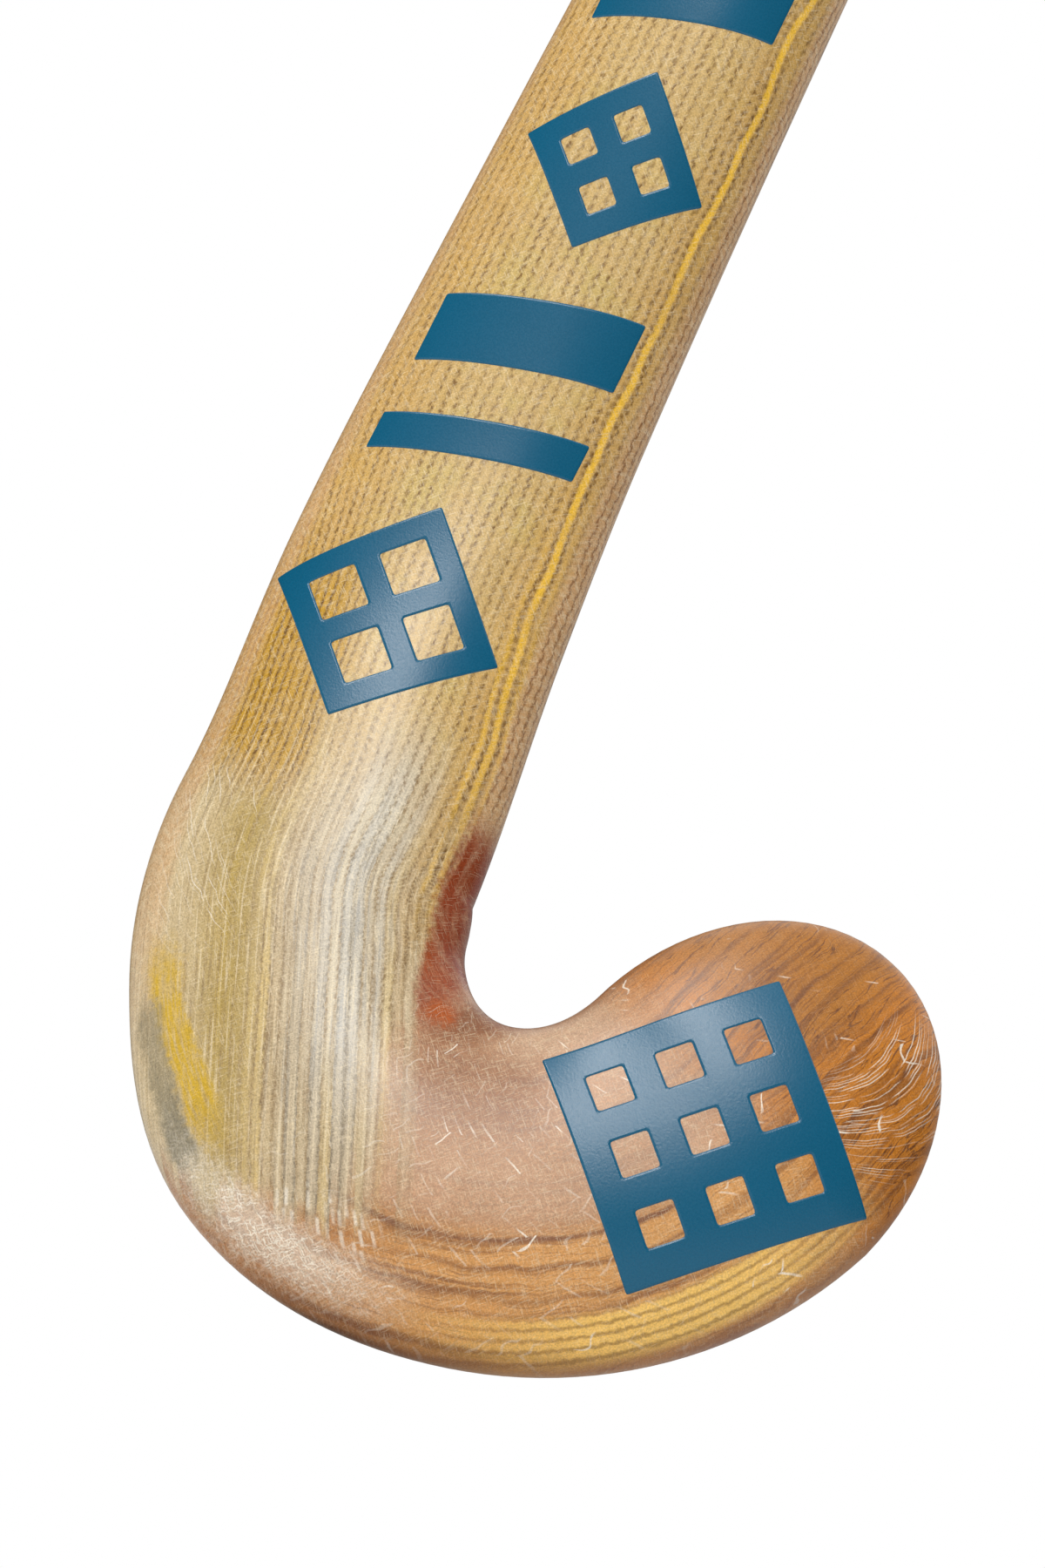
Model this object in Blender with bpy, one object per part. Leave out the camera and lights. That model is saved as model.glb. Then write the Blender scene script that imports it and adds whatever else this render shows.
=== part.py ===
"""Indoor hockey stick: a bent laminated core in glass and aramid layers, with a spliced handle and a grip.

Metres, +Z up. The shaft's axis is the Z axis with the handle at the top, the toe points to +X, the
rounded back faces -Y and the flat playing face +Y. The origin is where the upper hand holds the grip.

Every layer is swept along one path: straight down the shaft, round the hook, and out to the toe's
round end. A position on the path is the distance past the throat's level: negative up the shaft,
positive round the hook. A section is given by its half width, its depth to the back and to the face,
and the radius of its face corners. A layer under the surface is the same section with an inset.
"""

import math
from collections import namedtuple

import bmesh
import bpy
from mathutils import Vector

# Overall
STICK_LENGTH = 0.927  # sole to the top of the cap
HOLD_BELOW_BUTT = 0.107  # cap's top down to the middle of the upper hand
BEND_RADIUS = 0.0357  # shaft axis to the middle of the throat
HOOK_TURN = math.radians(161.6)  # how far the head turns before the toe's round end
TOE_END_LENGTH = 0.0324

# Widths across the section, edge to edge
HANDLE_WIDTH = 0.0285
SHAFT_WIDTH = 0.0436  # at the foot of the taper
THROAT_WIDTH = 0.0451
HEEL_WIDTH = 0.0474
SOLE_WIDTH = 0.0507
LIP_WIDTH = 0.0476  # between the sole and the toe
TOE_WIDTH = 0.0505
TAPER_FOOT = 0.0394  # height over the throat where the shaft starts to narrow
TAPER_POWER = 2.39

# How far the middle of the section lies outside the bend's arc (negative is towards the throat)
TAPER_FOOT_SHIFT = -0.0018
THROAT_SHIFT = -0.0064
HEEL_SHIFT = -0.0054
SOLE_SHIFT = -0.0009
LIP_SHIFT = 0.0026
TOE_SHIFT = 0.0048
SOLE_DIP = 0.0013  # how far the sole sinks further between these places
SHOULDER_TOP = 0.0733  # height over the throat where the hook's curves give way to the straight taper

# Where round the hook these widths and shifts are reached
HEEL_TURN = math.radians(36)
SOLE_TURN = math.radians(68)
LIP_TURN = math.radians(109)

# Depths of the section, measured from its widest line
HEAD_BACK_DEPTH = 0.0103
HEAD_FACE_DEPTH = 0.0064
SHAFT_BACK_DEPTH = 0.0120
SHAFT_FACE_DEPTH = 0.0075
HANDLE_DEPTH = 0.0250
FACE_CORNER = 0.0050
HANDLE_FLAT = 0.04  # share of the handle's width that stays flat on the face
BACK_POWER = 2.2  # 2 is an ellipse, more is squarer
HEAD_DEPTH_TOP = 0.040  # height over the throat where the head's flat face ends
SHAFT_DEPTH_FOOT = 0.150

# Bow of the shaft towards the back
BOW = 0.024
BOW_FOOT = 0.090  # heights over the sole
BOW_PEAK = 0.255
BOW_ENDS_BELOW_BUTT = 0.120

# Layers
SLEEVE_WALL = 0.0006
TAPE_THICKNESS = 0.0006
LAYER_GAP = 0.0003
TRANSFER_THICKNESS = 0.0003
TRANSFER_LIFT = 0.0004

# Core and handle
LAMINATIONS = 7
LAMINATION_PITCH = 0.0075
GLUE_LINE = 0.0003
LAMINATION_MIN = 0.0015  # a strip that is planed thinner than this has run out
LAMINATION_EDGE = 0.0008
HANDLE_LENGTH = 0.347  # cap's top down to the end of the splice
SPLICE_LENGTH = 0.080
TONGUE_THICKNESS = 0.0090
DAMPING_THICKNESS = 0.0012
DAMPING_END_MARGIN = 0.012
CHEEK_MIN = 0.0010
CHEEK_START = 0.0015  # thickness at the tip of the splice

# Glass tapes, aramid strands and patches: lengths along the path
TAPES_UNDER_GRIP = 0.005  # how far the tapes run up under the grip
BACK_TAPE_END = math.radians(72)
FACE_TAPE_END = math.radians(120)
STRAND_END = math.radians(24)
HEEL_PATCH_FROM = math.radians(32)
HEEL_PATCH_TO = math.radians(56)
SOLE_STRIP_FROM = math.radians(64)
SOLE_STRIP_TO = math.radians(152)
STRAND_WIDTH = 0.0024
TAPE_MARGIN = 0.0012  # tape to the strand beside it

# Transfer films on the back. Heights are over the throat.
BARS = 6
BAR_LOWEST = 0.134
BAR_FIRST_HEIGHT = 0.0035
BAR_GROWTH = 0.0020
BAR_GAP = 0.012
BAR_SHARE = 0.72  # share of the shaft's width that a bar covers
BAR_SLANT = math.radians(14)
WIDE_BAR_HEIGHT = 0.0110
WIDE_BAR_PLACE = 0.077
THIN_BAR_HEIGHT = 0.0060
THIN_BAR_PLACE = 0.060
SHAFT_NET_PLACE = 0.105
SHAFT_NET_SIDE = 0.0200
HEEL_NET_PLACE = 0.031
HEEL_NET_SIDE = 0.0250
NET_WALL = 0.0038
TOE_NET_TURN = math.radians(154)
TOE_NET_OUT = 0.0050  # outside the bend's arc
TOE_NET_SIDE = 0.0340
TOE_NET_WALL = 0.0046

# Grip
GRIP_LENGTH = 0.300
UNDERLAY_THICKNESS = 0.0008
GRIP_THICKNESS = 0.0018
FINISHING_TAPE_WIDTH = 0.022
FINISHING_TAPE_THICKNESS = 0.0005
FINISHING_TAPE_RISE = 0.001  # over the grip's lower edge
CAP_THICKNESS = 0.0050
CAP_SKIRT = 0.018
CAP_OVERHANG = 0.0006
CAP_ROUND = 0.0016

# Fineness of the solids
BACK_STEPS = 12
CORNER_STEPS = 4
HOOK_STEPS = 21
TOE_STEPS = 6
LAST_TOE_STEP = 0.4  # share of a step from the last ring to the toe's tip
CHEEK_SAMPLES = 7
CAP_ROUND_STEPS = 3
SEARCH_STEP = 0.0002
SAME_PLACE = 0.0001
SHARP_ANGLE = math.radians(40)
SHAFT_STEP = 0.040
LOW_SHAFT_STEP = 0.020
LOW_SHAFT_TOP = 0.120
TRANSFER_STEP = 0.004

THROAT_HEIGHT = BEND_RADIUS + SOLE_WIDTH / 2 + SOLE_SHIFT + SOLE_DIP
HOLD_HEIGHT = STICK_LENGTH - HOLD_BELOW_BUTT
CORE_TOP = -(STICK_LENGTH - CAP_THICKNESS - LAYER_GAP - THROAT_HEIGHT)
HANDLE_FOOT = -(STICK_LENGTH - HANDLE_LENGTH - THROAT_HEIGHT)
SPLICE_FOOT = HANDLE_FOOT + SPLICE_LENGTH
TAPE_TOP = CORE_TOP + GRIP_LENGTH - TAPES_UNDER_GRIP
HOOK_END = HOOK_TURN * BEND_RADIUS
TOE_TIP = HOOK_END + TOE_END_LENGTH
TAPE_OUT = SLEEVE_WALL + LAYER_GAP
TAPE_IN = TAPE_OUT + TAPE_THICKNESS
CORE_INSET = TAPE_IN + LAYER_GAP
TRANSFER_TOP = TRANSFER_LIFT + TRANSFER_THICKNESS

# Ring numbering: 0 is the heel-side edge, the back runs to INNER_EDGE, then the face runs back to 0
INNER_EDGE = BACK_STEPS
FACE_INNER = INNER_EDGE + CORNER_STEPS
FACE_OUTER = FACE_INNER + 1
RING = FACE_OUTER + CORNER_STEPS

# Ring places of the tapes' edges. A line gives its place at positions on the path.
THROAT_LINE = [
    (TAPE_TOP, 7.0),
    (-0.150, 7.4),
    (-0.100, 8.5),
    (-0.060, 9.4),
    (0, 9.6),
    (SOLE_TURN * BEND_RADIUS, 7.4),
]
HEEL_LINE = [
    (-LOW_SHAFT_TOP, 2.2),
    (0, 2.6),
    (STRAND_END * BEND_RADIUS, 3.6),
    (SOLE_TURN * BEND_RADIUS, 3.6),
]
HEEL_PATCH_EDGES = (1.0, 3.0)
SOLE_STRIP_EDGES = (-2.0, 1.5)
FACE_TAPE_EDGES = (FACE_INNER - 0.5, FACE_OUTER + 0.5)

Station = namedtuple("Station", "centre outward half back face corner bow")
Motif = namedtuple("Motif", "name x z u_angle v_angle columns rows mask")


def smooth(t):
    """0 to 1 with level ends."""
    t = min(max(t, 0.0), 1.0)
    return t * t * (3 - 2 * t)


def mix(a, b, t):
    return a + (b - a) * t


def through(knots, x):
    """A smooth curve through knots (place, value), level beyond its ends."""
    if x <= knots[0][0]:
        return knots[0][1]
    if x >= knots[-1][0]:
        return knots[-1][1]
    i = max(k for k in range(len(knots) - 1) if knots[k][0] <= x)

    def slope(k):
        low, high = knots[max(k - 1, 0)], knots[min(k + 1, len(knots) - 1)]
        return (high[1] - low[1]) / (high[0] - low[0])

    (x0, y0), (x1, y1) = knots[i], knots[i + 1]
    span = x1 - x0
    t = (x - x0) / span
    rise = slope(i) * span * t * (1 - t) ** 2 - slope(i + 1) * span * t * t * (1 - t)
    return mix(y0, y1, smooth(t)) + rise


def taper_at(s):
    """Width of the shaft's long taper."""
    left = (s - HANDLE_FOOT) / (-TAPER_FOOT - HANDLE_FOOT)
    return HANDLE_WIDTH + (SHAFT_WIDTH - HANDLE_WIDTH) * max(left, 0.0) ** TAPER_POWER


def width_at(s):
    """Width of the finished section, edge to edge."""
    if s <= -SHOULDER_TOP:
        return taper_at(s)
    knots = [
        (-2 * SHOULDER_TOP, taper_at(-2 * SHOULDER_TOP)),
        (-SHOULDER_TOP, taper_at(-SHOULDER_TOP)),
        (-TAPER_FOOT, SHAFT_WIDTH),
        (0, THROAT_WIDTH),
        (HEEL_TURN * BEND_RADIUS, HEEL_WIDTH),
        (SOLE_TURN * BEND_RADIUS, SOLE_WIDTH),
        (LIP_TURN * BEND_RADIUS, LIP_WIDTH),
        (HOOK_END, TOE_WIDTH),
    ]
    return through(knots, s)


def shift_at(s):
    """Middle of the section, outwards from the shaft axis or the bend's arc."""
    knots = [
        (-2 * SHOULDER_TOP, 0),
        (-SHOULDER_TOP, 0),
        (-TAPER_FOOT, TAPER_FOOT_SHIFT),
        (0, THROAT_SHIFT),
        (HEEL_TURN * BEND_RADIUS, HEEL_SHIFT),
        (SOLE_TURN * BEND_RADIUS, SOLE_SHIFT),
        (LIP_TURN * BEND_RADIUS, LIP_SHIFT),
        (HOOK_END, TOE_SHIFT),
    ]
    return through(knots, s)


def depths_at(s):
    """Depth to the back, depth to the face, and the face corners' radius."""
    to_shaft = smooth((-s - HEAD_DEPTH_TOP) / (SHAFT_DEPTH_FOOT - HEAD_DEPTH_TOP))
    to_handle = smooth((-s - SHAFT_DEPTH_FOOT) / (-HANDLE_FOOT - SHAFT_DEPTH_FOOT))
    back = mix(mix(HEAD_BACK_DEPTH, SHAFT_BACK_DEPTH, to_shaft), HANDLE_DEPTH / 2, to_handle)
    face = mix(mix(HEAD_FACE_DEPTH, SHAFT_FACE_DEPTH, to_shaft), HANDLE_DEPTH / 2, to_handle)
    corner = mix(FACE_CORNER, width_at(s) / 2 * (1 - HANDLE_FLAT), to_handle)
    return back, face, corner


def bow_at(s):
    """How far the section is bowed towards the back, as a Y value."""
    height = THROAT_HEIGHT - s
    bow_top = STICK_LENGTH - BOW_ENDS_BELOW_BUTT
    span = BOW_PEAK - BOW_FOOT if height < BOW_PEAK else bow_top - BOW_PEAK
    away = min(abs(height - BOW_PEAK) / span, 1.0)
    return -BOW * (1 + math.cos(math.pi * away)) / 2


def path_at(s):
    """Point on the axis or the bend's arc, and the outward direction there, both as (x, z)."""
    if s <= 0:
        return Vector((0, THROAT_HEIGHT - s)), Vector((-1, 0))
    turn = min(s, HOOK_END) / BEND_RADIUS
    outward = Vector((-math.cos(turn), -math.sin(turn)))
    return Vector((BEND_RADIUS, THROAT_HEIGHT)) + outward * BEND_RADIUS, outward


def station_at(s, inset):
    """The section at a path position. Past the hook it runs out to the toe's round end."""
    base = min(s, HOOK_END)
    point, outward = path_at(base)
    half = width_at(base) / 2 - inset
    back, face, corner = (value - inset for value in depths_at(base))
    centre = point + outward * shift_at(base)
    if s > HOOK_END:
        phase = math.pi / 2 * min((s - HOOK_END) / TOE_END_LENGTH, 1.0)
        onward = Vector((-outward.y, outward.x))
        reach = half * math.sin(phase)
        flat = max((half - corner) ** 2 - reach**2, 0) ** 0.5
        into_corner = max(reach - (half - corner), 0) / corner
        centre += onward * (TOE_END_LENGTH - inset) * math.sin(phase)
        back *= max(1 - math.sin(phase) ** BACK_POWER, 0) ** (1 / BACK_POWER)
        face *= max(1 - into_corner**2, 0) ** 0.5
        half *= math.cos(phase)
        corner = half - flat
    return Station(centre, outward, half, back, face, min(corner, half), bow_at(base))


def profile(station):
    """The section's outline as (outward, y) points, in the ring's order."""
    points = []
    for i in range(BACK_STEPS + 1):
        turn = math.pi * i / BACK_STEPS
        across = math.copysign(abs(math.cos(turn)) ** (2 / BACK_POWER), math.cos(turn))
        points.append((station.half * across, -station.back * math.sin(turn) ** (2 / BACK_POWER)))
    flat = station.half - station.corner
    for side in (-1, 1):
        for i in range(CORNER_STEPS):
            turn = math.pi / 2 * (i + 1 if side < 0 else CORNER_STEPS - i) / CORNER_STEPS
            across = flat + station.corner * math.cos(turn)
            points.append((side * across, station.face * math.sin(turn)))
    return points


def in_space(station, across, y):
    """A point of the section as a place in the stick's frame."""
    spot = station.centre + station.outward * across
    return Vector((spot.x, y + station.bow, spot.y))


def ring_at(s, inset):
    station = station_at(s, inset)
    return [in_space(station, across, y) for across, y in profile(station)]


def on_ring(points, place):
    """A point on the ring's outline at a place between its numbered corners."""
    low = math.floor(place)
    a, b = points[low % len(points)], points[(low + 1) % len(points)]
    return tuple(mix(p, q, place - low) for p, q in zip(a, b))


def surface_y(outline, across):
    """(back, face) Y values of a section's outline at a distance across it."""
    found = []
    for first, last in ((0, INNER_EDGE), (INNER_EDGE, RING)):
        for i in range(first, last):
            (a, y0), (b, y1) = outline[i], outline[(i + 1) % RING]
            if min(a, b) <= across <= max(a, b) and a != b:
                found.append(mix(y0, y1, (across - a) / (b - a)))
                break
        else:
            found.append(0.0)
    return found


def path_positions():
    """Every position that the layers share, from the butt to just short of the toe's tip."""
    spans = [
        (CORE_TOP, HANDLE_FOOT, SHAFT_STEP),
        (HANDLE_FOOT, -LOW_SHAFT_TOP, SHAFT_STEP),
        (-LOW_SHAFT_TOP, 0, LOW_SHAFT_STEP),
    ]
    places = []
    for start, end, step in spans:
        count = max(1, round((end - start) / step))
        places += [mix(start, end, i / count) for i in range(count)]
    places += [HOOK_END * i / HOOK_STEPS for i in range(HOOK_STEPS + 1)]
    toe_step = TOE_END_LENGTH / (TOE_STEPS + LAST_TOE_STEP)
    places += [HOOK_END + toe_step * i for i in range(1, TOE_STEPS + 1)]
    return places


def positions_between(start, end):
    inside = [s for s in path_positions() if start + SAME_PLACE < s < end - SAME_PLACE]
    return [start, *inside, end]


def material(name, colour, roughness, metallic=0.0):
    made = bpy.data.materials.new(name)
    made.use_nodes = True
    shader = made.node_tree.nodes["Principled BSDF"]
    shader.inputs["Base Color"].default_value = (*colour, 1)
    shader.inputs["Roughness"].default_value = roughness
    shader.inputs["Metallic"].default_value = metallic
    return made


def finish_object(name, mesh_data, look, frame):
    """Closes a bmesh into a named object under the stick's frame."""
    bmesh.ops.recalc_face_normals(mesh_data, faces=mesh_data.faces)
    mesh = bpy.data.meshes.new(name)
    mesh_data.to_mesh(mesh)
    mesh_data.free()
    mesh.shade_smooth()
    mesh.set_sharp_from_angle(angle=SHARP_ANGLE)
    mesh.materials.append(look)
    made = bpy.data.objects.new(name, mesh)
    bpy.context.scene.collection.objects.link(made)
    made.parent = frame
    return made


def loft(name, rings, look, frame, closed=False):
    """A solid through rings of equal count, closed on itself or capped flat at both ends."""
    shape = bmesh.new()
    verts = [[shape.verts.new(point) for point in ring] for ring in rings]
    pairs = list(zip(verts, verts[1:]))
    if closed:
        pairs.append((verts[-1], verts[0]))
    for one, two in pairs:
        for i in range(len(one)):
            j = (i + 1) % len(one)
            shape.faces.new((one[i], one[j], two[j], two[i]))
    if not closed:
        shape.faces.new(verts[0])
        shape.faces.new(verts[-1])
    return finish_object(name, shape, look, frame)


def sock(name, outer, inner, outer_tip, inner_tip, look, frame):
    """A skin closed at its tip and open at its first ring."""
    shape = bmesh.new()
    mouths = []
    for rings, tip in ((outer, outer_tip), (inner, inner_tip)):
        verts = [[shape.verts.new(point) for point in ring] for ring in rings]
        for one, two in zip(verts, verts[1:]):
            for i in range(len(one)):
                j = (i + 1) % len(one)
                shape.faces.new((one[i], one[j], two[j], two[i]))
        peak = shape.verts.new(tip)
        last = verts[-1]
        for i in range(len(last)):
            shape.faces.new((last[i], last[(i + 1) % len(last)], peak))
        mouths.append(verts[0])
    for i in range(len(mouths[0])):
        j = (i + 1) % len(mouths[0])
        shape.faces.new((mouths[0][i], mouths[0][j], mouths[1][j], mouths[1][i]))
    return finish_object(name, shape, look, frame)


def strip(name, places, edges, steps, look, frame):
    """A tape inside the sleeve. edges(s) gives its two sides as places on the ring."""
    rings = []
    for s in places:
        low, high = edges(s)
        outer, inner = ring_at(s, TAPE_OUT), ring_at(s, TAPE_IN)
        across = [mix(low, high, i / steps) for i in range(steps + 1)]
        rings.append([on_ring(outer, a) for a in across] + [on_ring(inner, a) for a in reversed(across)])
    return loft(name, rings, look, frame)


def slab_ring(station, samples, low_y, high_y):
    """A ring across a section between two Y values at each distance across it."""
    back = [in_space(station, across, low_y(across)) for across in samples]
    face = [in_space(station, across, high_y(across)) for across in reversed(samples)]
    return back + face


def splice_cut(s):
    """Half thickness that the core keeps between the cheeks."""
    left = min(max((s - HANDLE_FOOT) / (SPLICE_FOOT - HANDLE_FOOT), 0.0), 1.0)
    uncut = max(SHAFT_BACK_DEPTH, HANDLE_DEPTH / 2)
    return mix(TONGUE_THICKNESS / 2, uncut, left)


def lamination(index, look, frame):
    """One bent strip of the core, cut to the section wherever the section is narrower."""
    offset = (LAMINATIONS - 1) / 2 - index
    middle = offset * LAMINATION_PITCH
    reach = (LAMINATION_PITCH - GLUE_LINE) / 2
    outermost, innermost = index == 0, index == LAMINATIONS - 1
    runs, run = [], []
    for s in path_positions():
        station = station_at(s, CORE_INSET)
        shift = shift_at(min(s, HOOK_END))
        low = LAMINATION_EDGE - station.half
        high = station.half - LAMINATION_EDGE
        if not innermost:
            low = max(low, middle - reach - shift)
        if not outermost:
            high = min(high, middle + reach - shift)
        if high - low < LAMINATION_MIN:
            runs.append(run)
            run = []
            continue
        outline = profile(station)
        cut = splice_cut(s)
        heights = {a: surface_y(outline, a) for a in (low, (low + high) / 2, high)}
        run.append(
            slab_ring(
                station,
                list(heights),
                lambda a, h=heights, c=cut: max(h[a][0], -c),
                lambda a, h=heights, c=cut: min(h[a][1], c),
            )
        )
    runs.append(run)
    return loft(f"core_lamination_{index + 1}", max(runs, key=len), look, frame)


def handle_side(name, side, look, frame):
    """A cheek of the handle, from the splice to the butt. side is -1 at the back and 1 at the face."""
    rings = []
    for s in positions_between(CORE_TOP, SPLICE_FOOT):
        station = station_at(s, CORE_INSET)
        outline = profile(station)
        plane = splice_cut(s) + LAYER_GAP + DAMPING_THICKNESS + LAYER_GAP
        which = 0 if side < 0 else 1

        def room(across):
            return abs(surface_y(outline, across)[which]) - plane

        if room(0) < CHEEK_START:
            break
        low, high = 0.0, station.half
        while high - low > SEARCH_STEP / 100:
            half_way = (low + high) / 2
            low, high = (half_way, high) if room(half_way) > CHEEK_MIN else (low, half_way)
        places = [mix(-low, low, i / (CHEEK_SAMPLES - 1)) for i in range(CHEEK_SAMPLES)]
        skin = {a: surface_y(outline, a)[which] for a in places}
        flat = side * plane
        lower = (lambda a, k=skin: k[a]) if side < 0 else (lambda a, f=flat: f)
        upper = (lambda a, f=flat: f) if side < 0 else (lambda a, k=skin: k[a])
        rings.append(slab_ring(station, places, lower, upper))
    return loft(name, rings, look, frame)


def damping_strip(name, side, look, frame):
    """The rubber strip between the core's tongue and a cheek."""
    rings = []
    near = TONGUE_THICKNESS / 2 + LAYER_GAP
    far = near + DAMPING_THICKNESS
    low_y, high_y = sorted((side * near, side * far))
    for s in positions_between(CORE_TOP + DAMPING_END_MARGIN, HANDLE_FOOT - DAMPING_END_MARGIN):
        station = station_at(s, CORE_INSET)
        outline = profile(station)
        which = 0 if side < 0 else 1
        reach = station.half
        while abs(surface_y(outline, reach)[which]) < far:
            reach -= SEARCH_STEP
        rings.append(slab_ring(station, [-reach, reach], lambda a: low_y, lambda a: high_y))
    return loft(name, rings, look, frame)


def tube(name, start, end, inner_offset, thickness, look, frame):
    """A wrapped layer round the handle, open at both ends."""
    places = positions_between(start, end)
    outer = [ring_at(s, -(inner_offset + thickness)) for s in places]
    inner = [ring_at(s, -inner_offset) for s in reversed(places)]
    return loft(name, outer + inner, look, frame, closed=True)


def end_cap(grip_offset, look, frame):
    """The cap over the butt: a skirt under the grip and a flange over the grip's end."""
    flange = grip_offset + GRIP_THICKNESS + CAP_OVERHANG
    under = CORE_TOP - LAYER_GAP
    top = under - CAP_THICKNESS
    skirt_in, skirt_out = LAYER_GAP, LAYER_GAP + UNDERLAY_THICKNESS
    skirt_end = CORE_TOP + CAP_SKIRT
    lines = [
        (skirt_in, under),
        (skirt_in, skirt_end),
        (skirt_out, skirt_end),
        (skirt_out, under),
        (flange, under),
    ]
    for i in range(CAP_ROUND_STEPS + 1):
        turn = math.pi / 2 * i / CAP_ROUND_STEPS
        rise = top + CAP_ROUND * (1 - math.sin(turn))
        lines.append((flange - CAP_ROUND * (1 - math.cos(turn)), rise))
    return loft("end_cap", [ring_at(s, -offset) for offset, s in lines], look, frame)


def surface_point(x, z, lift):
    """The place on the back at (x, z), raised by lift."""
    past_hook = 0.0
    if z >= THROAT_HEIGHT and x < BEND_RADIUS:
        s, reach = THROAT_HEIGHT - z, -x
    else:
        away = Vector((x - BEND_RADIUS, z - THROAT_HEIGHT))
        s = (math.atan2(-away.y, -away.x) % (2 * math.pi)) * BEND_RADIUS
        reach = away.length - BEND_RADIUS
    if s > HOOK_END:
        s = HOOK_END
        point, outward = path_at(s)
        along = Vector((x, z)) - point
        reach = along.dot(outward)
        past_hook = along.dot(Vector((-outward.y, outward.x)))
    back, _, _ = depths_at(s)
    across = (reach - shift_at(s)) / (width_at(s) / 2)
    round_off = math.hypot(across, past_hook / TOE_END_LENGTH)
    depth = back * max(1 - round_off**BACK_POWER, 0) ** (1 / BACK_POWER)
    return Vector((x, bow_at(s) - depth - lift, z))


def motif_piece(motif, look, frame):
    """A transfer film on the back: a grid of cells, some left open, bent over the surface."""
    u_axis = Vector((math.cos(motif.u_angle), math.sin(motif.u_angle)))
    v_axis = Vector((math.cos(motif.v_angle), math.sin(motif.v_angle)))

    def lines(sizes):
        """Fine grid lines, and for each fine step the cell that it lies in."""
        at, cells = [-sum(sizes) / 2], []
        for number, size in enumerate(sizes):
            count = max(1, math.ceil(size / TRANSFER_STEP))
            start = at[-1]
            at += [start + size * (k + 1) / count for k in range(count)]
            cells += [number] * count
        return at, cells

    us, u_cells = lines(motif.columns)
    vs, v_cells = lines(motif.rows)
    shape = bmesh.new()
    made = {}

    def vert(i, j, lift):
        if (i, j, lift) not in made:
            spot = Vector((motif.x, motif.z)) + u_axis * us[i] + v_axis * vs[j]
            made[i, j, lift] = shape.verts.new(surface_point(spot.x, spot.y, lift))
        return made[i, j, lift]

    def filled(i, j):
        inside = 0 <= i < len(u_cells) and 0 <= j < len(v_cells)
        return inside and motif.mask[v_cells[j]][u_cells[i]] == "#"

    for i in range(len(u_cells)):
        for j in range(len(v_cells)):
            if not filled(i, j):
                continue
            corners = [(i, j), (i + 1, j), (i + 1, j + 1), (i, j + 1)]
            for lift in (TRANSFER_LIFT, TRANSFER_TOP):
                shape.faces.new([vert(a, b, lift) for a, b in corners])
            beside = [(i, j - 1), (i + 1, j), (i, j + 1), (i - 1, j)]
            for k, neighbour in enumerate(beside):
                if not filled(*neighbour):
                    (a, b), (c, d) = corners[k], corners[(k + 1) % 4]
                    wall = [(a, b, TRANSFER_LIFT), (c, d, TRANSFER_LIFT)]
                    wall += [(c, d, TRANSFER_TOP), (a, b, TRANSFER_TOP)]
                    shape.faces.new([vert(*corner) for corner in wall])
    return finish_object(motif.name, shape, look, frame)


def bar(number, over_throat, height):
    """A slanted bar across the shaft."""
    length = BAR_SHARE * width_at(-over_throat)
    name, z = f"transfer_bar_{number}", THROAT_HEIGHT + over_throat
    return Motif(name, 0, z, BAR_SLANT, math.pi / 2, [length], [height], ["#"])


def net(name, spot, side, openings, wall):
    """A square net turned on its corner, with rows of square openings."""
    opening = (side - (openings + 1) * wall) / openings
    sizes = [wall, opening] * openings + [wall]
    solid_row = "#" * len(sizes)
    open_row = "#." * openings + "#"
    mask = [open_row if row % 2 else solid_row for row in range(len(sizes))]
    turn = math.pi / 4
    return Motif(name, spot.x, spot.y, turn, turn + math.pi / 2, sizes, sizes, mask)


def motifs():
    """The transfers: bars that grow down the shaft, and three nets."""
    made = []
    place = BAR_LOWEST
    for number in range(BARS, 0, -1):
        height = BAR_FIRST_HEIGHT + BAR_GROWTH * (number - 1)
        made.append(bar(number, place, height))
        place += height + BAR_GAP - BAR_GROWTH / 2
    made.append(bar(BARS + 1, WIDE_BAR_PLACE, WIDE_BAR_HEIGHT))
    made.append(bar(BARS + 2, THIN_BAR_PLACE, THIN_BAR_HEIGHT))
    shaft_spot = Vector((0, THROAT_HEIGHT + SHAFT_NET_PLACE))
    heel_spot = Vector((0, THROAT_HEIGHT + HEEL_NET_PLACE))
    toe_point, outward = path_at(TOE_NET_TURN * BEND_RADIUS)
    toe_spot = toe_point + outward * TOE_NET_OUT
    made.append(net("transfer_net_shaft", shaft_spot, SHAFT_NET_SIDE, 2, NET_WALL))
    made.append(net("transfer_net_heel", heel_spot, HEEL_NET_SIDE, 2, NET_WALL))
    made.append(net("transfer_net_toe", toe_spot, TOE_NET_SIDE, 3, TOE_NET_WALL))
    return made


def ring_share(s, length):
    """How much ring numbering a length covers on the back near position s."""
    return length / (width_at(s) * math.pi / 2 / BACK_STEPS)


def back_tape_edges(s):
    return through(HEEL_LINE, s), through(THROAT_LINE, s) - ring_share(s, TAPE_MARGIN)


def throat_strand_edges(s):
    start = through(THROAT_LINE, s)
    return start, start + ring_share(s, STRAND_WIDTH)


def heel_strand_edges(s):
    stop = through(HEEL_LINE, s) - ring_share(s, TAPE_MARGIN)
    return stop - ring_share(s, STRAND_WIDTH), stop


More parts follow.
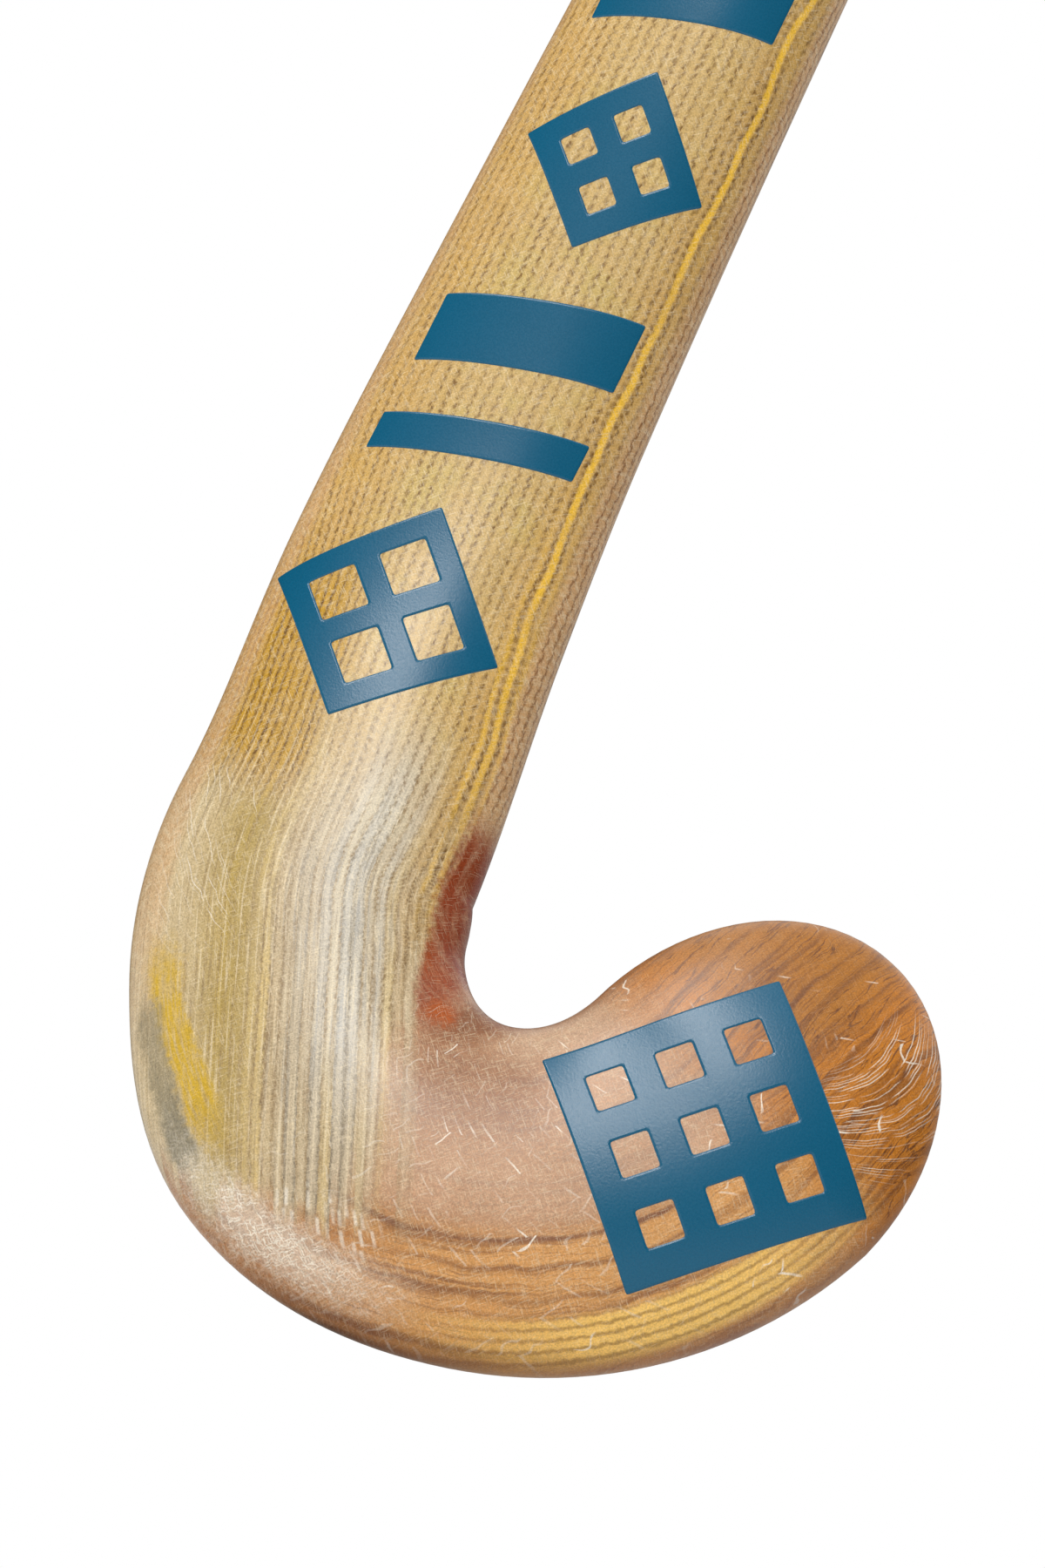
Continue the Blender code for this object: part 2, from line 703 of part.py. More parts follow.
def reinforcements(tape, aramid, frame):
    """The glass tapes, aramid strands and patches under the sleeve."""
    turns = {
        "aramid_heel_patch": (HEEL_PATCH_FROM, HEEL_PATCH_TO, HEEL_PATCH_EDGES, 2),
        "aramid_sole_strip": (SOLE_STRIP_FROM, SOLE_STRIP_TO, SOLE_STRIP_EDGES, 4),
    }
    for name, (first, last, edges, steps) in turns.items():
        places = positions_between(first * BEND_RADIUS, last * BEND_RADIUS)
        strip(name, places, lambda s, e=edges: e, steps, aramid, frame)
    runs = {
        "glass_tape_back": (BACK_TAPE_END, back_tape_edges, 6, tape),
        "glass_tape_face": (FACE_TAPE_END, lambda s: FACE_TAPE_EDGES, 2, tape),
        "aramid_strand_throat_edge": (STRAND_END, throat_strand_edges, 1, aramid),
        "aramid_strand_heel_edge": (STRAND_END, heel_strand_edges, 1, aramid),
    }
    for name, (last, edges, steps, look) in runs.items():
        strip(name, positions_between(TAPE_TOP, last * BEND_RADIUS), edges, steps, look, frame)


def grip_layers(felt, grip, film, frame):
    """The underlay, the grip and its finishing band. Gives back the grip's inner offset."""
    grip_offset = LAYER_GAP + UNDERLAY_THICKNESS + LAYER_GAP
    grip_end = CORE_TOP + GRIP_LENGTH
    under_start = CORE_TOP + CAP_SKIRT + LAYER_GAP
    tube("grip_underlay", under_start, grip_end, LAYER_GAP, UNDERLAY_THICKNESS, felt, frame)
    tube("grip_wrap", CORE_TOP, grip_end, grip_offset, GRIP_THICKNESS, grip, frame)
    band_end = grip_end - FINISHING_TAPE_RISE
    band_start = band_end - FINISHING_TAPE_WIDTH
    band_offset = grip_offset + GRIP_THICKNESS + LAYER_GAP
    tube("grip_finishing_tape", band_start, band_end, band_offset, FINISHING_TAPE_THICKNESS, film, frame)
    return grip_offset


def build():
    for old in list(bpy.data.objects):
        bpy.data.objects.remove(old)

    frame = bpy.data.objects.new("stick", None)
    frame.location = (0, 0, -HOLD_HEIGHT)
    bpy.context.scene.collection.objects.link(frame)

    mulberry = material("mulberry", (0.45, 0.22, 0.08), 0.5)
    willow = material("willow", (0.62, 0.47, 0.28), 0.55)
    glass = material("glass_resin", (0.62, 0.45, 0.24), 0.25)
    tape = material("glass_tape", (0.66, 0.52, 0.30), 0.4)
    aramid = material("aramid", (0.78, 0.55, 0.09), 0.5)
    rubber = material("rubber", (0.03, 0.03, 0.032), 0.7)
    film = material("transfer_film", (0.010, 0.122, 0.223), 0.35)
    grip = material("grip", (0.012, 0.035, 0.06), 0.6)
    felt = material("underlay", (0.25, 0.25, 0.25), 0.9)

    for index in range(LAMINATIONS):
        lamination(index, mulberry, frame)
    for place, side in (("back", -1), ("face", 1)):
        handle_side(f"handle_cheek_{place}", side, willow, frame)
        damping_strip(f"damping_strip_{place}", side, rubber, frame)

    places = path_positions()
    sock(
        "glass_sleeve",
        [ring_at(s, 0) for s in places],
        [ring_at(s, SLEEVE_WALL) for s in places],
        in_space(station_at(TOE_TIP, 0), 0, 0),
        in_space(station_at(TOE_TIP, SLEEVE_WALL), 0, 0),
        glass,
        frame,
    )

    reinforcements(tape, aramid, frame)
    for motif in motifs():
        motif_piece(motif, film, frame)
    end_cap(grip_layers(felt, grip, film, frame), rubber, frame)


if __name__ == "__main__":
    build()
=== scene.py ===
"""Looks of an indoor hockey stick: resin over stitched glass tape, transfers, grip and cap.

Metres, +Z up. The shaft runs along Z with the handle at the top, the toe points to +X, the rounded
back faces -Y and the flat playing face +Y. The origin is where the upper hand holds the grip.

Patterns in the resin are laid out in the stick's own measures, in millimetres: how far along its
path a place lies (negative up the shaft, positive round the hook), and how far across the section
(positive towards the heel and the sole, negative towards the throat).
"""

import logging
import math
from dataclasses import dataclass
from enum import Enum
from typing import Sequence, Union

import bmesh
import bpy
from mathutils import Matrix, Quaternion, Vector


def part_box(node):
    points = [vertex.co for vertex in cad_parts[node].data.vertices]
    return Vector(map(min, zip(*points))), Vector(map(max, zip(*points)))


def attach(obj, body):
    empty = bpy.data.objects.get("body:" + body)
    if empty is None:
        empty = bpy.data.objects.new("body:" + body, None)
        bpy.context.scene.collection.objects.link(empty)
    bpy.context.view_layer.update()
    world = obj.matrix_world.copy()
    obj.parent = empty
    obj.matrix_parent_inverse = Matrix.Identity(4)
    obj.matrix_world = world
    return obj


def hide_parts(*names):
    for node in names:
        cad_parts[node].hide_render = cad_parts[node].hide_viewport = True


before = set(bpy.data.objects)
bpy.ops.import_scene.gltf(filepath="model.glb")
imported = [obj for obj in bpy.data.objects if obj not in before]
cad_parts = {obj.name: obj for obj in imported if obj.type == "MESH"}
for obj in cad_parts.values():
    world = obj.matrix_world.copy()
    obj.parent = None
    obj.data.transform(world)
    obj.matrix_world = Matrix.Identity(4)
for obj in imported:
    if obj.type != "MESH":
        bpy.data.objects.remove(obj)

BODY = "root"
MM = 0.001
LEAST_RADIUS = 1e-6
QUARTER_TURN = math.pi / 2
SHARP_ANGLE = math.radians(50)

Colour = tuple[float, float, float]
Knots = Sequence[tuple[float, float]]
Row = Sequence[bmesh.types.BMVert]

log = logging.getLogger("stick")


def srgb(red: float, green: float, blue: float) -> Colour:
    """Turn a colour of 0 to 255 a channel into the linear values that shaders take."""
    shares = (channel / 255 for channel in (red, green, blue))
    return tuple(c / 12.92 if c <= 0.04045 else ((c + 0.055) / 1.055) ** 2.4 for c in shares)


def mix(a: float, b: float, share: float) -> float:
    """Go from a to b by a share."""
    return a + (b - a) * share


def smooth(share: float) -> float:
    """Ease 0 to 1 with level ends."""
    held = min(max(share, 0.0), 1.0)
    return held * held * (3 - 2 * held)


def through(knots: Knots, x: float) -> float:
    """Read a smooth curve through knots, level beyond its ends.

    Args:
        knots: Places and values, in order of place.
        x: The place to read.

    Returns:
        The value there.
    """
    if x <= knots[0][0]:
        return knots[0][1]
    if x >= knots[-1][0]:
        return knots[-1][1]
    i = max(k for k in range(len(knots) - 1) if knots[k][0] <= x)

    def slope(k: int) -> float:
        """Slope at a knot, from its neighbours."""
        low, high = knots[max(k - 1, 0)], knots[min(k + 1, len(knots) - 1)]
        return (high[1] - low[1]) / (high[0] - low[0])

    (x0, y0), (x1, y1) = knots[i], knots[i + 1]
    span = x1 - x0
    t = (x - x0) / span
    rise = slope(i) * span * t * (1 - t) ** 2 - slope(i + 1) * span * t * t * (1 - t)
    return mix(y0, y1, smooth(t)) + rise


@dataclass(frozen=True)
class Station:
    """The section at one place on the path.

    The centre and the outward direction are (x, z). The half width and the depths are measured
    from the widest line.
    """

    centre: Vector
    outward: Vector
    half: float
    back: float
    face: float
    corner: float
    bow: float


@dataclass(frozen=True)
class StickForm:
    """The stick's outer surface, swept along its path.

    A position on the path is the distance past the throat's level: negative up the shaft,
    positive round the hook.
    """

    sole: float  # height of the lowest point
    butt: float  # height of the cap's top
    bend_radius: float = 0.0357
    hook_turn: float = math.radians(161.6)
    toe_end: float = 0.0324
    handle_width: float = 0.0285
    shaft_width: float = 0.0436
    throat_width: float = 0.0451
    heel_width: float = 0.0474
    sole_width: float = 0.0507
    lip_width: float = 0.0476
    toe_width: float = 0.0505
    taper_foot: float = 0.0394
    taper_power: float = 2.39
    taper_foot_shift: float = -0.0018
    throat_shift: float = -0.0064
    heel_shift: float = -0.0054
    sole_shift: float = -0.0009
    lip_shift: float = 0.0026
    toe_shift: float = 0.0048
    sole_dip: float = 0.0013
    shoulder_top: float = 0.0733
    heel_turn: float = math.radians(36)
    sole_turn: float = math.radians(68)
    lip_turn: float = math.radians(109)
    head_back: float = 0.0103
    head_face: float = 0.0064
    shaft_back: float = 0.0120
    shaft_face: float = 0.0075
    handle_depth: float = 0.0250
    face_corner: float = 0.0050
    handle_flat: float = 0.04
    back_power: float = 2.2
    head_depth_top: float = 0.040
    shaft_depth_foot: float = 0.150
    bow: float = 0.024
    bow_foot: float = 0.090
    bow_peak: float = 0.255
    bow_ends_below_butt: float = 0.120
    handle_length: float = 0.347

    @property
    def length(self) -> float:
        """Sole to the cap's top."""
        return self.butt - self.sole

    @property
    def throat_height(self) -> float:
        """Height of the throat's level over the sole."""
        return self.bend_radius + self.sole_width / 2 + self.sole_shift + self.sole_dip

    @property
    def level(self) -> float:
        """Height of the throat's level."""
        return self.sole + self.throat_height

    @property
    def hook_end(self) -> float:
        """Path position where the toe's round end starts."""
        return self.hook_turn * self.bend_radius

    @property
    def handle_foot(self) -> float:
        """Path position of the splice's upper end."""
        return -(self.length - self.handle_length - self.throat_height)

    @property
    def stops(self) -> list[float]:
        """List the knots that the outline runs through.

        Returns:
            Their path positions.
        """
        turns = (self.heel_turn, self.sole_turn, self.lip_turn, self.hook_turn)
        shaft = [-2 * self.shoulder_top, -self.shoulder_top, -self.taper_foot, 0]
        return shaft + [turn * self.bend_radius for turn in turns]

    def position(self, z: float) -> float:
        """Path position of a height on the shaft."""
        return self.throat_height - (z - self.sole)

    def taper(self, s: float) -> float:
        """Width of the shaft's long taper."""
        left = (s - self.handle_foot) / (-self.taper_foot - self.handle_foot)
        return mix(self.handle_width, self.shaft_width, max(left, 0.0) ** self.taper_power)

    def width(self, s: float) -> float:
        """Give the section's width, edge to edge.

        Args:
            s: Path position.

        Returns:
            The width.
        """
        if s <= -self.shoulder_top:
            return self.taper(s)
        stops = self.stops
        widths = [self.taper(stops[0]), self.taper(stops[1]), self.shaft_width, self.throat_width]
        widths += [self.heel_width, self.sole_width, self.lip_width, self.toe_width]
        return through(list(zip(stops, widths)), s)

    def shift(self, s: float) -> float:
        """Give the section's middle, outwards from the shaft axis or the bend's arc.

        Args:
            s: Path position.

        Returns:
            The shift, positive outwards.
        """
        shifts = [0, 0, self.taper_foot_shift, self.throat_shift]
        shifts += [self.heel_shift, self.sole_shift, self.lip_shift, self.toe_shift]
        return through(list(zip(self.stops, shifts)), s)

    def dome(self, share: float) -> float:
        """Height of the rounded back, as a share, at a share of the way out to its edge."""
        return max(1 - share**self.back_power, 0) ** (1 / self.back_power)

    def depths(self, s: float) -> tuple[float, float, float]:
        """Give the depth to the back, the depth to the face, and the face corners' radius.

        Args:
            s: Path position.

        Returns:
            The three lengths.
        """
        shaft_span = self.shaft_depth_foot - self.head_depth_top
        to_shaft = smooth((-s - self.head_depth_top) / shaft_span)
        handle_span = -self.handle_foot - self.shaft_depth_foot
        to_handle = smooth((-s - self.shaft_depth_foot) / handle_span)
        half_handle = self.handle_depth / 2
        back = mix(mix(self.head_back, self.shaft_back, to_shaft), half_handle, to_handle)
        face = mix(mix(self.head_face, self.shaft_face, to_shaft), half_handle, to_handle)
        round_corner = self.width(s) / 2 * (1 - self.handle_flat)
        return back, face, mix(self.face_corner, round_corner, to_handle)

    def bow_at(self, s: float) -> float:
        """Give how far the section is bowed towards the back, as a Y value.

        Args:
            s: Path position.

        Returns:
            The Y value of the section's widest line.
        """
        height = self.throat_height - s
        above = self.length - self.bow_ends_below_butt - self.bow_peak
        span = self.bow_peak - self.bow_foot if height < self.bow_peak else above
        away = min(abs(height - self.bow_peak) / span, 1.0)
        return -self.bow * (1 + math.cos(math.pi * away)) / 2

    def path(self, s: float) -> tuple[Vector, Vector]:
        """Give the point on the axis or the bend's arc, and the outward direction there.

        Args:
            s: Path position.

        Returns:
            The point and the direction, both as (x, z).
        """
        if s <= 0:
            return Vector((0, self.level - s)), Vector((-1, 0))
        turn = min(s, self.hook_end) / self.bend_radius
        outward = Vector((-math.cos(turn), -math.sin(turn)))
        return Vector((self.bend_radius, self.level)) + outward * self.bend_radius, outward

    def station(self, s: float, lift: float = 0.0) -> Station:
        """Work out the section at a path position, out to the toe's round end.

        Args:
            s: Path position.
            lift: How far outside the stick's surface the section lies.

        Returns:
            The section.
        """
        base = min(s, self.hook_end)
        point, outward = self.path(base)
        half = self.width(base) / 2 + lift
        back, face, corner = (value + lift for value in self.depths(base))
        centre = point + outward * self.shift(base)
        if s > self.hook_end:
            phase = QUARTER_TURN * min((s - self.hook_end) / self.toe_end, 1.0)
            onward = Vector((-outward.y, outward.x))
            reach = half * math.sin(phase)
            flat = max((half - corner) ** 2 - reach**2, 0) ** 0.5
            into_corner = max(reach - (half - corner), 0) / corner
            centre = centre + onward * (self.toe_end + lift) * math.sin(phase)
            back *= self.dome(math.sin(phase))
            face *= max(1 - into_corner**2, 0) ** 0.5
            half *= math.cos(phase)
            corner = half - flat
        return Station(centre, outward, half, back, face, min(corner, half), self.bow_at(base))

    def in_space(self, station: Station, across: float, y: float) -> Vector:
        """Place a point of a section in the stick's frame."""
        spot = station.centre + station.outward * across
        return Vector((spot.x, y + station.bow, spot.y))

    def round_point(self, station: Station, turn: float) -> tuple[float, float]:
        """Give a point of a section's outline.

        Args:
            station: The section.
            turn: 0 to 1 round the outline: 0 at the heel side, 0.5 at the throat side, the back
                between them and the face after.

        Returns:
            The point as (across, y).
        """
        if turn <= 0.5:
            angle = 2 * math.pi * turn
            power = 2 / self.back_power
            across = math.copysign(abs(math.cos(angle)) ** power, math.cos(angle))
            return station.half * across, -station.back * math.sin(angle) ** power
        flat = station.half - station.corner
        arc = station.corner * QUARTER_TURN
        run = (turn - 0.5) * 2 * (2 * flat + 2 * arc)
        if arc < run < arc + 2 * flat:
            return run - arc - flat, station.face
        side = -1 if run <= arc else 1
        angle = (run if side < 0 else 2 * arc + 2 * flat - run) / max(station.corner, LEAST_RADIUS)
        return side * (flat + station.corner * math.cos(angle)), station.face * math.sin(angle)

    def surface_point(self, x: float, z: float, lift: float) -> Vector:
        """Find the place on the back at (x, z).

        Args:
            x: Across the stick.
            z: Height.
            lift: How far over the surface.

        Returns:
            The point.
        """
        past_hook = 0.0
        if z >= self.level and x < self.bend_radius:
            s, reach = self.level - z, -x
        else:
            away = Vector((x - self.bend_radius, z - self.level))
            s = (math.atan2(-away.y, -away.x) % (2 * math.pi)) * self.bend_radius
            reach = away.length - self.bend_radius
        if s > self.hook_end:
            s = self.hook_end
            point, outward = self.path(s)
            along = Vector((x, z)) - point
            reach = along.dot(outward)
            past_hook = along.dot(Vector((-outward.y, outward.x)))
        across = (reach - self.shift(s)) / (self.width(s) / 2)
        round_off = math.hypot(across, past_hook / self.toe_end)
        depth = self.depths(s)[0] * self.dome(round_off)
        return Vector((x, self.bow_at(s) - depth - lift, z))


def place_mesh(name: str, shape: bmesh.types.BMesh) -> bpy.types.Object:
    """Put a bmesh into the scene.

    Args:
        name: The object's name.
        shape: Its mesh, which is freed.

    Returns:
        The new object.
    """
    mesh = bpy.data.meshes.new(name)
    shape.to_mesh(mesh)
    shape.free()
    made = bpy.data.objects.new(name, mesh)
    bpy.context.scene.collection.objects.link(made)
    return made


def bridge(shape: bmesh.types.BMesh, rows: Sequence[Row], closed: bool = True) -> None:
    """Join each row of points to the next one.

    Args:
        shape: The mesh.
        rows: Rows of equal count.
        closed: The rows run all the way round.
    """
    for one, two in zip(rows, rows[1:]):
        for i in range(len(one) if closed else len(one) - 1):
            j = (i + 1) % len(one)
            shape.faces.new((one[i], one[j], two[j], two[i]))


def add_piece(
    name: str, shape: bmesh.types.BMesh, replaced: str, film: bool = False
) -> bpy.types.Object:
    """Turn a bmesh into a piece that rides on the stick.

    Args:
        name: The piece's name.
        shape: Its mesh, which is freed.
        replaced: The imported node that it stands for.
        film: It is an open sheet on the back, smooth all over.

    Returns:
        The new object.
    """
    bmesh.ops.recalc_face_normals(shape, faces=shape.faces)
    if film and sum(face.normal.y * face.calc_area() for face in shape.faces) > 0:
        bmesh.ops.reverse_faces(shape, faces=shape.faces)
    made = place_mesh(name, shape)
    made.data.shade_smooth()
    if not film:
        made.data.set_sharp_from_angle(angle=SHARP_ANGLE)
    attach(made, BODY)
    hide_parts(replaced)
    log.info("%s: %d faces", name, len(made.data.polygons))
    return made


Number = Union["Tone", float]


def plug(tree: bpy.types.NodeTree, socket: bpy.types.NodeSocket, value: object) -> None:
    """Feed a socket with a tone, a paint or a plain value.

    Args:
        tree: The node tree.
        socket: The input.
        value: What goes into it.
    """
    if isinstance(value, (Tone, Paint)):
        tree.links.new(value.socket, socket)
    elif isinstance(value, bpy.types.NodeSocket):
        tree.links.new(value, socket)
    elif isinstance(value, tuple) and socket.type == "RGBA":
        socket.default_value = (*value, 1.0)
    else:
        socket.default_value = value


def add_node(
    tree: bpy.types.NodeTree, kind: str, *values: object, **named: object
) -> bpy.types.Node:
    """Add a shader node and feed it.

    Args:
        tree: The node tree.
        kind: The kind of node.
        *values: What goes into its first inputs, in order.
        **named: What goes into its inputs of these names.

    Returns:
        The node.
    """
    node = tree.nodes.new(f"ShaderNode{kind}")
    for socket, value in zip(node.inputs, values):
        plug(tree, socket, value)
    for name, value in named.items():
        plug(tree, node.inputs[name], value)
    return node


@dataclass(frozen=True)
class Tone:
    """A number that varies over a surface."""

    tree: bpy.types.NodeTree
    socket: bpy.types.NodeSocket

    def calc(self, operation: str, *others: Number) -> "Tone":
        """Work out a formula of this tone and others.

        Args:
            operation: The formula's name among the math nodes.
            *others: The other numbers, in order.

        Returns:
            The result.
        """
        node = add_node(self.tree, "Math", self, *others)
        node.operation = operation
        return Tone(self.tree, node.outputs[0])

    def __add__(self, other: Number) -> "Tone":
        """Add a number."""
        return self.calc("ADD", other)

    def __sub__(self, other: Number) -> "Tone":
        """Take a number away."""
        return self.calc("SUBTRACT", other)

    def __mul__(self, other: Number) -> "Tone":
        """Multiply by a number."""
        return self.calc("MULTIPLY", other)

    def __truediv__(self, other: Number) -> "Tone":
        """Divide by a number."""
        return self.calc("DIVIDE", other)

    def floor(self) -> "Tone":
        """Take the whole number below."""
        return self.calc("FLOOR")

    def part(self) -> "Tone":
        """Take what is over the whole number."""
        return self.calc("FRACT")

    def rest(self) -> "Tone":
        """Give one minus this tone."""
        return self.calc("MULTIPLY_ADD", -1.0, 1.0)

    def size(self) -> "Tone":
        """Drop the sign."""
        return self.calc("ABSOLUTE")

    def least(self, other: Number) -> "Tone":
        """Take the smaller of the two."""
        return self.calc("MINIMUM", other)

    def most(self, other: Number) -> "Tone":
        """Take the larger of the two."""
        return self.calc("MAXIMUM", other)

    def rise(self, low: Number, high: Number) -> "Tone":
        """Ease from 0 at low to 1 at high.

        Args:
            low: Where the rise starts.
            high: Where it ends.

        Returns:
            The eased tone.
        """
        node = add_node(self.tree, "MapRange", self, low, high)
        node.interpolation_type = "SMOOTHSTEP"
        return Tone(self.tree, node.outputs["Result"])

    def near(self, middle: Number, reach: float, soft: float) -> "Tone":
        """Mark with 1 where this tone lies within reach of a value, with soft edges."""
        return (self - middle).size().rise(reach - soft, reach + soft).rest()

    def between(self, low: float, high: float, soft: float) -> "Tone":
        """Mark where this tone lies between two values, with soft edges."""
        return self.near((low + high) / 2, (high - low) / 2, soft)


@dataclass(frozen=True)
class Paint:
    """A colour that varies over a surface."""

    tree: bpy.types.NodeTree
    socket: bpy.types.NodeSocket

    def under(self, *layers: tuple[Union["Paint", Colour], Number]) -> "Paint":
        """Lay other colours over this one.

        Args:
            *layers: Each colour with how much of it shows, from the lowest to the topmost.

        Returns:
            The blend.
        """
        blend = self
        for top, share in layers:
            node = add_node(self.tree, "Mix", share)
            node.data_type = "RGBA"
            plug(self.tree, node.inputs[6], blend)
            plug(self.tree, node.inputs[7], top)
            blend = Paint(self.tree, node.outputs[2])
        return blend

    def dim(self, strength: Number) -> "Paint":
        """Scale the colour's brightness.

        Args:
            strength: What it is multiplied by.

        Returns:
            The scaled colour.
        """
        node = add_node(self.tree, "VectorMath", self)
        node.operation = "SCALE"
        plug(self.tree, node.inputs["Scale"], strength)
        return Paint(self.tree, node.outputs[0])


class Finish:
    """A material under construction, with its shader and the surface's own measures."""

    def __init__(self, name: str) -> None:
        """Start a material with an empty principled shader.

        Args:
            name: Its name.
        """
        self.material = bpy.data.materials.new(name)
        self.material.use_nodes = True
        self.tree = self.material.node_tree
        self.shader = self.tree.nodes["Principled BSDF"]
        place = self.node("TexCoord").outputs["Object"]
        parted = self.node("SeparateXYZ", place)
        self.x, self.y, self.z = (Tone(self.tree, out) * (1 / MM) for out in parted.outputs)

    def node(self, kind: str, *values: object, **named: object) -> bpy.types.Node:
        """Add a node and feed its first inputs, and those with names."""
        return add_node(self.tree, kind, *values, **named)

    def measure(self, name: str) -> Tone:
        """Read a measure that the mesh carries.

        Args:
            name: Its name.

        Returns:
            The measure.
        """
        node = self.node("Attribute")
        node.attribute_name = name
        return Tone(self.tree, node.outputs["Fac"])

    def vector(self, x: Number, y: Number, z: Number = 0.0) -> bpy.types.NodeSocket:
        """Join three numbers into a vector."""
        return self.node("CombineXYZ", x, y, z).outputs[0]

    def spot(self) -> bpy.types.NodeSocket:
        """Give the place on the object, in millimetres."""
        return self.vector(self.x, self.y, self.z)

    def noise(self, place: bpy.types.NodeSocket, grain: float, detail: float) -> Tone:
        """Make noise about 0.5 with clouds of a size and a number of finer layers."""
        node = self.node("TexNoise", place, Scale=1 / grain, Detail=detail)
        return Tone(self.tree, node.outputs["Fac"])

    def streaks(self, x: Number, y: Number, z: Number = 0.0, detail: float = 1.0) -> Tone:
        """Make noise about 0.5 over a stretched place, with z for the slice that is read."""
        return self.noise(self.vector(x, y, z), 1.0, detail)

    def pits(self, place: bpy.types.NodeSocket, grain: float) -> Tone:
        """Give the distance to the nearest of scattered points, in units of their spacing."""
        return Tone(self.tree, self.node("TexVoronoi", place, Scale=1 / grain).outputs["Distance"])

    def dice(self, x: Number, y: Number, seed: float) -> tuple[Tone, Tone, Tone]:
        """Throw three numbers of 0 to 1 for each pair of whole numbers."""
        thrown = self.node("TexWhiteNoise", self.vector(x, y, seed)).outputs["Color"]
        return tuple(Tone(self.tree, out) for out in self.node("SeparateColor", thrown).outputs)

    def paint(self, colour: Colour) -> Paint:
        """Start from a plain colour.

        Args:
            colour: The colour.

        Returns:
            The same as a paint.
        """
        node = self.node("RGB")
        node.outputs[0].default_value = (*colour, 1.0)
        return Paint(self.tree, node.outputs[0])

    def fibres(self, along: Tone, across: Tone, look: "FibreLook", seed: float) -> Tone:
        """Scatter short straight fibres.

        Args:
            along: The direction that they lie in, in millimetres.
            across: The direction square to it.
            look: Their size and number.
            seed: Tells one scatter from another.

        Returns:
            0 to 1, how much of a fibre shows.
        """
        row = (across / look.pitch).floor()
        slide = self.dice(row, 0.0, seed)[0]
        place = along / look.length + slide * 9.0
        chance, lane, bright = self.dice(row, place.floor(), seed + 0.5)
        shown = chance.calc("LESS_THAN", look.share)
        body = place.part().near(0.5, 0.4, 0.1)
        middle = lane * 0.5 + 0.25
        thick = look.width / look.pitch / 2
        line = (across / look.pitch).part().near(middle, thick, thick * 0.7)
        return shown * body * line * (bright * 0.7 + 0.3)

    def crossed(self, p: Tone, q: Tone, look: "FibreLook", seeds: tuple[float, float]) -> Tone:
        """Scatter fibres along two directions that cross."""
        return self.fibres(p, q, look, seeds[0]).most(self.fibres(q, p, look, seeds[1]))

    def bump(self, height: Number, depth: float, under: object = None) -> bpy.types.NodeSocket:
        """Turn a height into a relief.

        Args:
            height: 0 to 1.
            depth: The relief's depth in millimetres.
            under: A relief that this one adds to.

        Returns:
            The normal.
        """
        relief = {"Distance": depth * MM, "Height": height}
        if under is not None:
            relief["Normal"] = under
        return self.node("Bump", **relief).outputs[0]

    def close(self, colour: Paint, roughness: Number, normal: object, gloss: "Gloss") -> None:
        """Finish the shader with its colour, its roughness, its relief and its gloss."""
        self.fill({"Base Color": colour, "Roughness": roughness, "Normal": normal})
        self.fill({"Specular IOR Level": gloss.specular, "Sheen Weight": gloss.sheen})

    def matt(self, grey: float, roughness: float) -> None:
        """Finish the shader as one grey with no gloss."""
        colour = (grey, grey, grey)
        self.fill({"Base Color": colour, "Roughness": roughness, "Specular IOR Level": 0.0})

    def fill(self, inputs: dict[str, object]) -> None:
        """Feed the shader's inputs by name."""
        for name, value in inputs.items():
            plug(self.tree, self.shader.inputs[name], value)


@dataclass(frozen=True)
class FibreLook:
    """Short fibres: their length, spacing and width in millimetres, and the share that shows."""

    length: float
    pitch: float
    width: float
    share: float


@dataclass(frozen=True)
class Gloss:
    """Shader values that are the same all over a surface."""

    specular: float = 0.5
    sheen: float = 0.0


